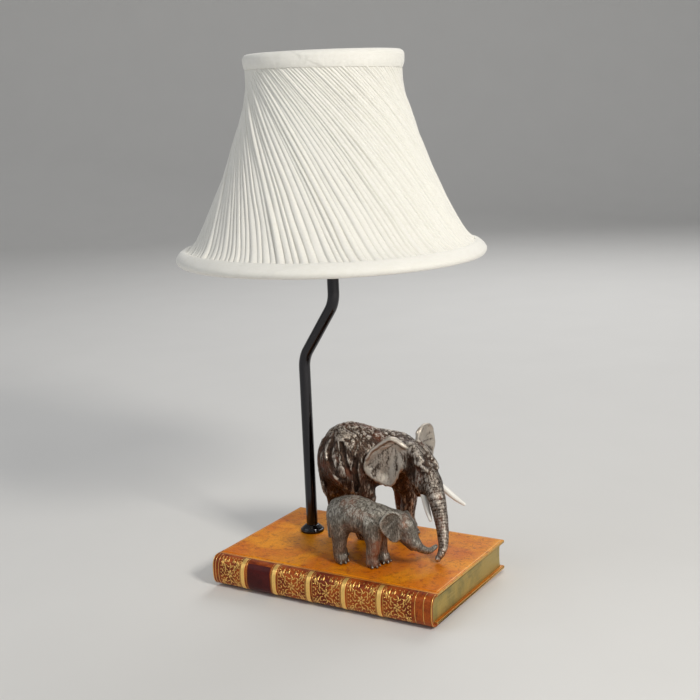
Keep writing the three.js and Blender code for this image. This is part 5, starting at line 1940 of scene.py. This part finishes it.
            deep = max(skin.crease_depth + 1.5 * skin.fold_depth + skin.ring_depth, 0.2)
            rub[on] += w * (skin.rub + 0.55 * (lifted / deep + 0.5))
            if hide is flap:
                ribs = cloudy(np.column_stack([crease_turn[on] * 9, 0.05 * p[:, 2], p[:, 0] * 0.03]), 53, 2)
                lifted += 0.4 * ribs * s
                rub[on] += w * (0.1 * ear_edge[on] + 0.6 * ribs)
            rise[on] += w * lifted
        return rise, rub

    def build(self) -> None:
        """Builds and dresses the animal."""
        clay = self.shape()
        points, faces = clay.skin()
        slope = np.stack(np.gradient(clay.field, clay.step), axis=-1)
        for _ in range(2):
            way = clay.sample(slope, points)
            steepness = np.maximum(np.sum(way * way, axis=1), 0.05)
            points = points - way * (clay.sample(clay.field, points) / steepness)[:, None]
        normals = unit(clay.sample(slope, points))
        bend = sum(np.gradient(slope[..., k], clay.step, axis=k) for k in range(3))
        curve = clay.sample(bend, points)
        rise, rub = self.wrinkle(clay, points, curve)
        foot = smoothstep(self.floor + 0.3, self.floor + 1.6, points[:, 2])
        points = points + normals * (rise * foot)[:, None]
        points[:, 2] = np.maximum(points[:, 2], self.floor)
        piece = make_mesh(self.piece, points, faces, closed=False)
        layer = piece.data.attributes.new("rub", "FLOAT", "POINT")
        # Skin that faces upwards is rubbed brighter: painted top light, on top of the rubbed wear.
        layer.data.foreach_set("value", np.clip(rub + 0.14 * normals[:, 2], 0.0, 1.0).astype(np.float32))
        fit_out(piece, "base", self.slot, self.finish, self.node)


CALF_EAR = ((-3.5, 64), (-3, 73), (0, 77.5), (6, 78.5), (12, 75), (15.5, 69), (14.8, 63.5), (11.5, 58), (6.5, 53),
    (2.5, 51.8), (-1, 54.5))
CALF_EAR_RIM = ((0, 55, 0.3), (-2.6, 64, 0.5), (-2.2, 72.5, 0.8), (1, 76.8, 0.9), (6, 77.6, 0.9), (11.4, 74.4, 0.7),
    (14.6, 69, 0.4))
COW = Elephant(
    piece="cow_figure", node="cow_elephant", slot="cow_bronze", finish=COW_BRONZE, step=0.8,
    origin=(-2.0, 13.0, 28.3), heading=38.0, head_origin=(64.0, 20.0, 101.0), head_heading=-20.0,
    hides=(Hide.FLANK, Hide.LEG, Hide.HEAD),
    torso=((-3, 0, 71, 22.2), (5, 0, 77, 24), (20, 0, 70, 25.5), (38, 0, 69, 21.5), (50, 0, 66, 17.5)),
    padding=(
        ((-12, 0, 91, 4), (4, 0, 98.5, 4), (20, 0, 92.5, 4), (38, 0, 88, 4), (50, 0, 84, 5)),
        ((-4, -10, 90, 7), (-4, 10, 90, 7)),
        ((44, -13, 66, 10), (46, -9, 48, 9)),
        ((42, 13, 66, 10), (44, 9, 48, 9)),
        ((-2, -14, 64, 13), (6, -13, 46, 10)),
        ((-8, 14, 64, 13), (-9, 13, 46, 10)),
        ((-10, 6, 58, 13), (-10.5, 8, 44, 11)),
    ),
    legs=(
        ((4, -11, 60, 14), (14, -12, 38, 9.5), (9, -12, 16, 7.2), (11, -12, 6, 7.6)),
        ((-5, 11, 60, 14), (-9, 12, 38, 9.5), (-9, 12, 16, 7.2), (-8, 12, 6, 7.6)),
        ((50, -9, 58, 11), (53, -8, 36, 8), (51, -8, 16, 6.8), (53, -8, 6, 7.2)),
        ((47, 8, 58, 11), (49, 7, 36, 8), (50, 7, 16, 6.8), (52, 7, 6, 7.2)),
    ),
    neck=((48, 0, 70, 17), (-8, 0, 0, 13.5)),
    face=((-3, 0, 7, 11), (4, 0, 1, 10.2), (12, 0, -7, 9.4), (17, 0, -14, 8.8)),
    features=(
        ((-2, -5, 14.5, 4.2), (5, -5.5, 10, 4), (11, -6, 5, 3)),
        ((-2, 5, 14.5, 4.2), (5, 5.5, 10, 4), (11, 6, 5, 3)),
        ((0, 0, -12, 9), (2, 0, -25, 5)),
        ((8, -7, -6, 4.2), (11.5, -7.3, -15, 4.3)),
        ((8, 7, -6, 4.2), (11.5, 7.3, -15, 4.3)),
        ((11, -7, -12, 4.4), (14, -7, -20, 4.2)),
        ((12, 6.5, -10, 4.4), (16, 8, -17, 4.2)),
        ((8, -8.8, 3.6, 1.8), (14, -8.2, 1.8, 2.0), (18.5, -6.4, -1.5, 1.5)),
        ((8, 8.8, 3.6, 1.8), (14, 8.2, 1.8, 2.0), (18.5, 6.4, -1.5, 1.5)),
    ),
    folds=(
        ((-13, 13, 92, 1.6), (-16, 12, 84, 2.2), (-16.5, 15, 76, 2.6), (-14, 20, 68, 2.6), (-9, 24, 60, 1.4)),
        ((-6, 18, 90, 1.2), (-5.5, 21.6, 80, 1.9), (-3, 25.5, 70, 1.9), (1, 27, 60, 1.2)),
        ((5, 24, 76, 1.1), (4, 25, 66, 1.9), (5, 24, 54, 1.9), (4, 21, 46, 1.1)),
        ((35, 22, 75, 1.2), (34, 21, 62, 2.0), (35, 16, 51, 1.4)),
    ),
    hollows=(((-2, 15.5, 5, 5.2), (3, 13.8, -2, 5.4), (2, 13.5, -13, 4.4)),),
    trunk=((88, 7, 78, 7.8), (95.5, 1, 58, 5.9), (99.5, -5, 43, 4.6), (100, -9, 37, 3.7), (98, -12.5, 31.8, 2.9)),
    tail=(
        (-18.5, 0, 88, 3), (-22.6, -0.6, 80, 2.4), (-24.0, -1.2, 71, 2.1),
        (-23.2, -3, 57, 1.9), (-20.8, -4, 46, 2.3), (-19.5, -4.5, 40, 1.2),
    ),
    ears=(
        Ear(
            at=(57.0, 13.0), heading=203.8,
            outline=(
                (-4, 113), (0, 118.5), (12, 125.5), (29, 114.5), (36.5, 101), (35, 92.5), (27, 85.5), (19, 81.5),
                (12.5, 81), (8, 87), (3, 98), (-2, 104),
            ),
            thickness=3.0, dish=2.2,
            rim=((-4, 114, 1.0), (3, 118, 1.6), (12, 123.5, 2.0), (21, 119, 1.8), (29, 113, 1.4), (33.5, 106, 0.6)),
            rim_radius=2.0, fan=(9.5, 118.0), scallop=0.5,
        ),
        Ear(
            at=(62.0, 27.0), heading=88.0,
            outline=(
                (-5, 108), (-3.5, 119), (-2, 127), (6, 131), (15.5, 130.5), (22.5, 126.5), (26.5, 119), (28, 111),
                (26, 101), (18, 92), (8, 89), (0, 93), (-4, 100),
            ),
            thickness=3.0, dish=-2.0,
            rim=(
                (-4, 112, -0.8), (-2, 123, -1.4), (3, 128.8, -1.6), (10, 130, -1.6), (18, 128.6, -1.4),
                (24, 123, -0.8),
            ),
            rim_radius=1.4, fan=(4.0, 116.0), scallop=0.5,
        ),
    ),
    eye=(15.0, 7.8, -2.0), eye_size=1.5, nail=1.7,
)
CALF = Elephant(
    piece="calf_figure", node="calf_elephant", slot="calf_bronze", finish=CALF_BRONZE, step=0.55,
    origin=(23.0, -38.0, 28.3), heading=4.0, head_origin=(79.0, -31.0, 61.0), head_heading=-4.0,
    hides=(Hide.CALF, Hide.CALF, Hide.CALF_HEAD),
    torso=((0, 0, 40, 13), (10, 0, 41, 15), (20, 0, 40, 14.5), (30, 0, 38, 12.5)),
    padding=(
        ((-6, 0, 49, 3), (10, 0, 53.5, 3), (24, 0, 51.5, 3)),
        ((0, -7, 36, 8), (0, -7, 26, 7)),
        ((-2, 7, 36, 8), (-5, 7, 26, 7)),
        ((29, -7, 36, 7), (31, -6.5, 26, 6.6)),
        ((30, 7, 36, 7), (31, 6.5, 26, 6)),
    ),
    legs=(
        ((0, -6, 34, 8.5), (0, -7, 20, 6.5), (-0.6, -7, 9, 5.5), (0.8, -7, 4, 5.9)),
        ((0, 6, 34, 8.5), (-5, 7, 20, 6), (-7, 7, 9, 5), (-6, 7, 4, 5.4)),
        ((29, -6, 32, 7.5), (31, -6.3, 20, 6.4), (29.4, -6.3, 9, 5.4), (29.4, -6.3, 4, 5.8)),
        ((30, 6, 32, 7.5), (31.5, 6, 20, 5.8), (32.5, 6, 9, 5), (34, 6, 4, 5.4)),
    ),
    neck=((34, 0, 42, 10), (-9, 0, 4, 10)),
    face=((-9, 0, 4, 10), (-2, 0, 3, 9.5), (3, 0, -5, 7.5), (8, 0, -11, 5)),
    features=(
        ((-4, -4, 8.5, 3.2), (1, -4, 5.5, 3)),
        ((-4, 4, 8.5, 3.2), (1, 4, 5.5, 3)),
        ((-4, 0, -6, 5), (2, 0, -13, 3), (5, 0, -16, 1.8)),
        ((2, -5.2, -5, 3), (5, -3.4, -10, 2.4)),
        ((2, 5.2, -5, 3), (5, 3.4, -10, 2.4)),
    ),
    folds=(
        ((9, 16, 40, 0.8), (8.6, 14.4, 31, 1.5), (8.6, 12, 24, 1.0)),
        ((25, 15, 42, 0.7), (24, 13.6, 32, 1.4), (24, 11.5, 25, 1.0)),
    ),
    hollows=(((-1, 12, 4, 3.0), (1.4, 10.3, -4, 2.8)),),
    trunk=((91, -29.5, 46, 3.9), (94, -24.5, 42.6, 3.1), (95, -18.5, 41.3, 2.6), (96.2, -12.4, 42.4, 2.1)),
    tail=((-12, 0, 45, 1.8), (-13.5, -1, 38, 1.5), (-12.5, -2, 27, 1.3), (-11, -3, 20, 1.6)),
    ears=tuple(
        Ear(
            at=at, heading=heading,
            outline=tuple((along, height - drop) for along, height in CALF_EAR),
            thickness=2.4, dish=1.2 * side,
            rim=tuple((along, height - drop, off * side) for along, height, off in CALF_EAR_RIM),
            rim_radius=0.85, fan=(0.0, 74.0), scallop=0.2, hide=Hide.CALF_EAR,
        )
        for at, heading, side, drop in (((76.43, -39.14), 210.0, 1, 0.0), ((77.58, -22.58), 142.0, -1, 6.5))
    ),
    eye=(5.8, 5.3, -0.5), eye_size=1.05, nail=1.15, size=0.6,
)


@dataclass
class Tusks:
    """The cow's two tusks."""

    right: Row = ((14, -7, -20, 2.8), (16, -7.6, -25, 2.8), (22, -9.5, -35, 2.4), (28, -12.3, -41, 1.4))
    left: Row = ((16, 8, -17, 2.8), (20, 10.5, -20, 2.8), (29, 15.5, -28, 2.4), (36.5, 18.8, -32.7, 1.4))

    def build(self) -> None:
        """Builds both, each tapering to a rounded tip."""
        for name, node, balls in (("right_tusk", "tusk_right", self.right), ("left_tusk", "tusk_left", self.left)):
            row = catmull(COW.head(balls), 14)
            lead = unit(row[-1, :3] - row[-2, :3])
            tip = [[*(row[-1, :3] + lead * a), r] for a, r in ((0.5, 1.3), (0.95, 1.0), (1.2, 0.6), (1.32, 0.2))]
            row = np.concatenate([row, tip])
            piece = make_mesh(name, *tube(row[:, :3], row[:, 3], 28), sharp=70)
            fit_out(piece, "base", "tusk_resin", TUSK, node)


# ---------- Studio ----------


@dataclass
class Studio:
    """The pale floor, the lamps and the camera."""

    camera: Colour = (530.74, -856.57, 407.83)
    heading: float = 31.105
    dip: float = 11.763
    roll: float = -2.338
    lens: float = 62.507
    front: float = -2400.0
    wall: float = 2600.0
    sweep: float = 900.0
    ceiling: float = 3600.0
    half_width: float = 5200.0

    def add_floor(self) -> None:
        """A wide pale floor that curves up into a wall, well behind the lamp."""
        turn = np.radians(np.linspace(0, 90, 13))
        profile = [(self.front, 0.0)]
        profile += [(self.wall + self.sweep * sin(a), self.sweep * (1 - cos(a))) for a in turn]
        profile.append((self.wall + self.sweep, self.ceiling))
        away = radians(self.heading + 90)
        forward = np.array([cos(away), sin(away)])
        aside = np.array([-forward[1], forward[0]])
        rows = []
        for distance, height in profile:
            for side in np.linspace(-self.half_width, self.half_width, 5):
                spot = forward * distance + aside * side
                rows.append([spot[0], spot[1], height])
        piece = make_mesh("floor", np.array(rows), grid_faces(len(profile), 5)[:, ::-1], closed=False)
        piece.data.materials.append(Backdrop("Pale floor").material())

    def lamp(self, name: str, place: Colour, aim: Colour, power: float, size: float, tint: Colour) -> None:
        """A soft square lamp.

        Args:
            name: its name.
            place: where it is, in millimetres.
            aim: what it points at, in millimetres.
            power: watts.
            size: side in metres.
            tint: its colour.
        """
        data = bpy.data.lights.new(name, "AREA")
        data.energy, data.size, data.color = power, size, tint
        made = bpy.data.objects.new(name, data)
        bpy.context.scene.collection.objects.link(made)
        made.location = [v * MM for v in place]
        way = Vector([(b - a) * MM for a, b in zip(place, aim)])
        made.rotation_euler = way.to_track_quat("-Z", "Y").to_euler()

    def add_lamps(self) -> None:
        """A strong lamp on the right, a broad weak one on the left, and an even world."""
        self.lamp("key", (1500.0, -620.0, 1150.0), (0.0, 0.0, 180.0), 22.0, 0.36, (1.0, 0.965, 0.9))
        self.lamp("fill", (-1500.0, -1500.0, 1300.0), (0.0, 0.0, 200.0), 9.0, 1.6, (0.93, 0.96, 1.0))
        self.lamp("back", (-300.0, 1700.0, 1500.0), (0.0, 0.0, 200.0), 16.0, 1.2, (1.0, 1.0, 1.0))
        world = bpy.data.worlds.new("Studio")
        bpy.context.scene.world = world
        world.use_nodes = True
        shade = world.node_tree.nodes["Background"]
        shade.inputs["Color"].default_value = (0.95, 0.97, 1.0, 1.0)
        shade.inputs["Strength"].default_value = 0.32

    def add_camera(self) -> None:
        """The camera."""
        data = bpy.data.cameras.new("camera")
        data.lens, data.sensor_width, data.clip_end = self.lens, 36.0, 30.0
        made = bpy.data.objects.new("camera", data)
        bpy.context.scene.collection.objects.link(made)
        turn = Matrix.Rotation(radians(self.heading), 4, "Z")
        tilt = Matrix.Rotation(radians(90 - self.dip), 4, "X")
        lean = Matrix.Rotation(radians(self.roll), 4, "Z")
        made.matrix_world = Matrix.Translation([v * MM for v in self.camera]) @ turn @ tilt @ lean
        bpy.context.scene.camera = made

    def build(self) -> None:
        """Builds the studio."""
        self.add_floor()
        self.add_lamps()
        self.add_camera()
        bpy.context.scene.view_settings.view_transform = "Standard"


def main() -> None:
    """Builds the lamp and its studio in order."""
    logging.basicConfig(level=logging.INFO, format="%(message)s")
    Studio().build()
    Book().build()
    Stem().build()
    Lampholder().build()
    Bulb().build()
    Shade().build()
    COW.build()
    Tusks().build()
    CALF.build()


if __name__ == "__main__":
    main()
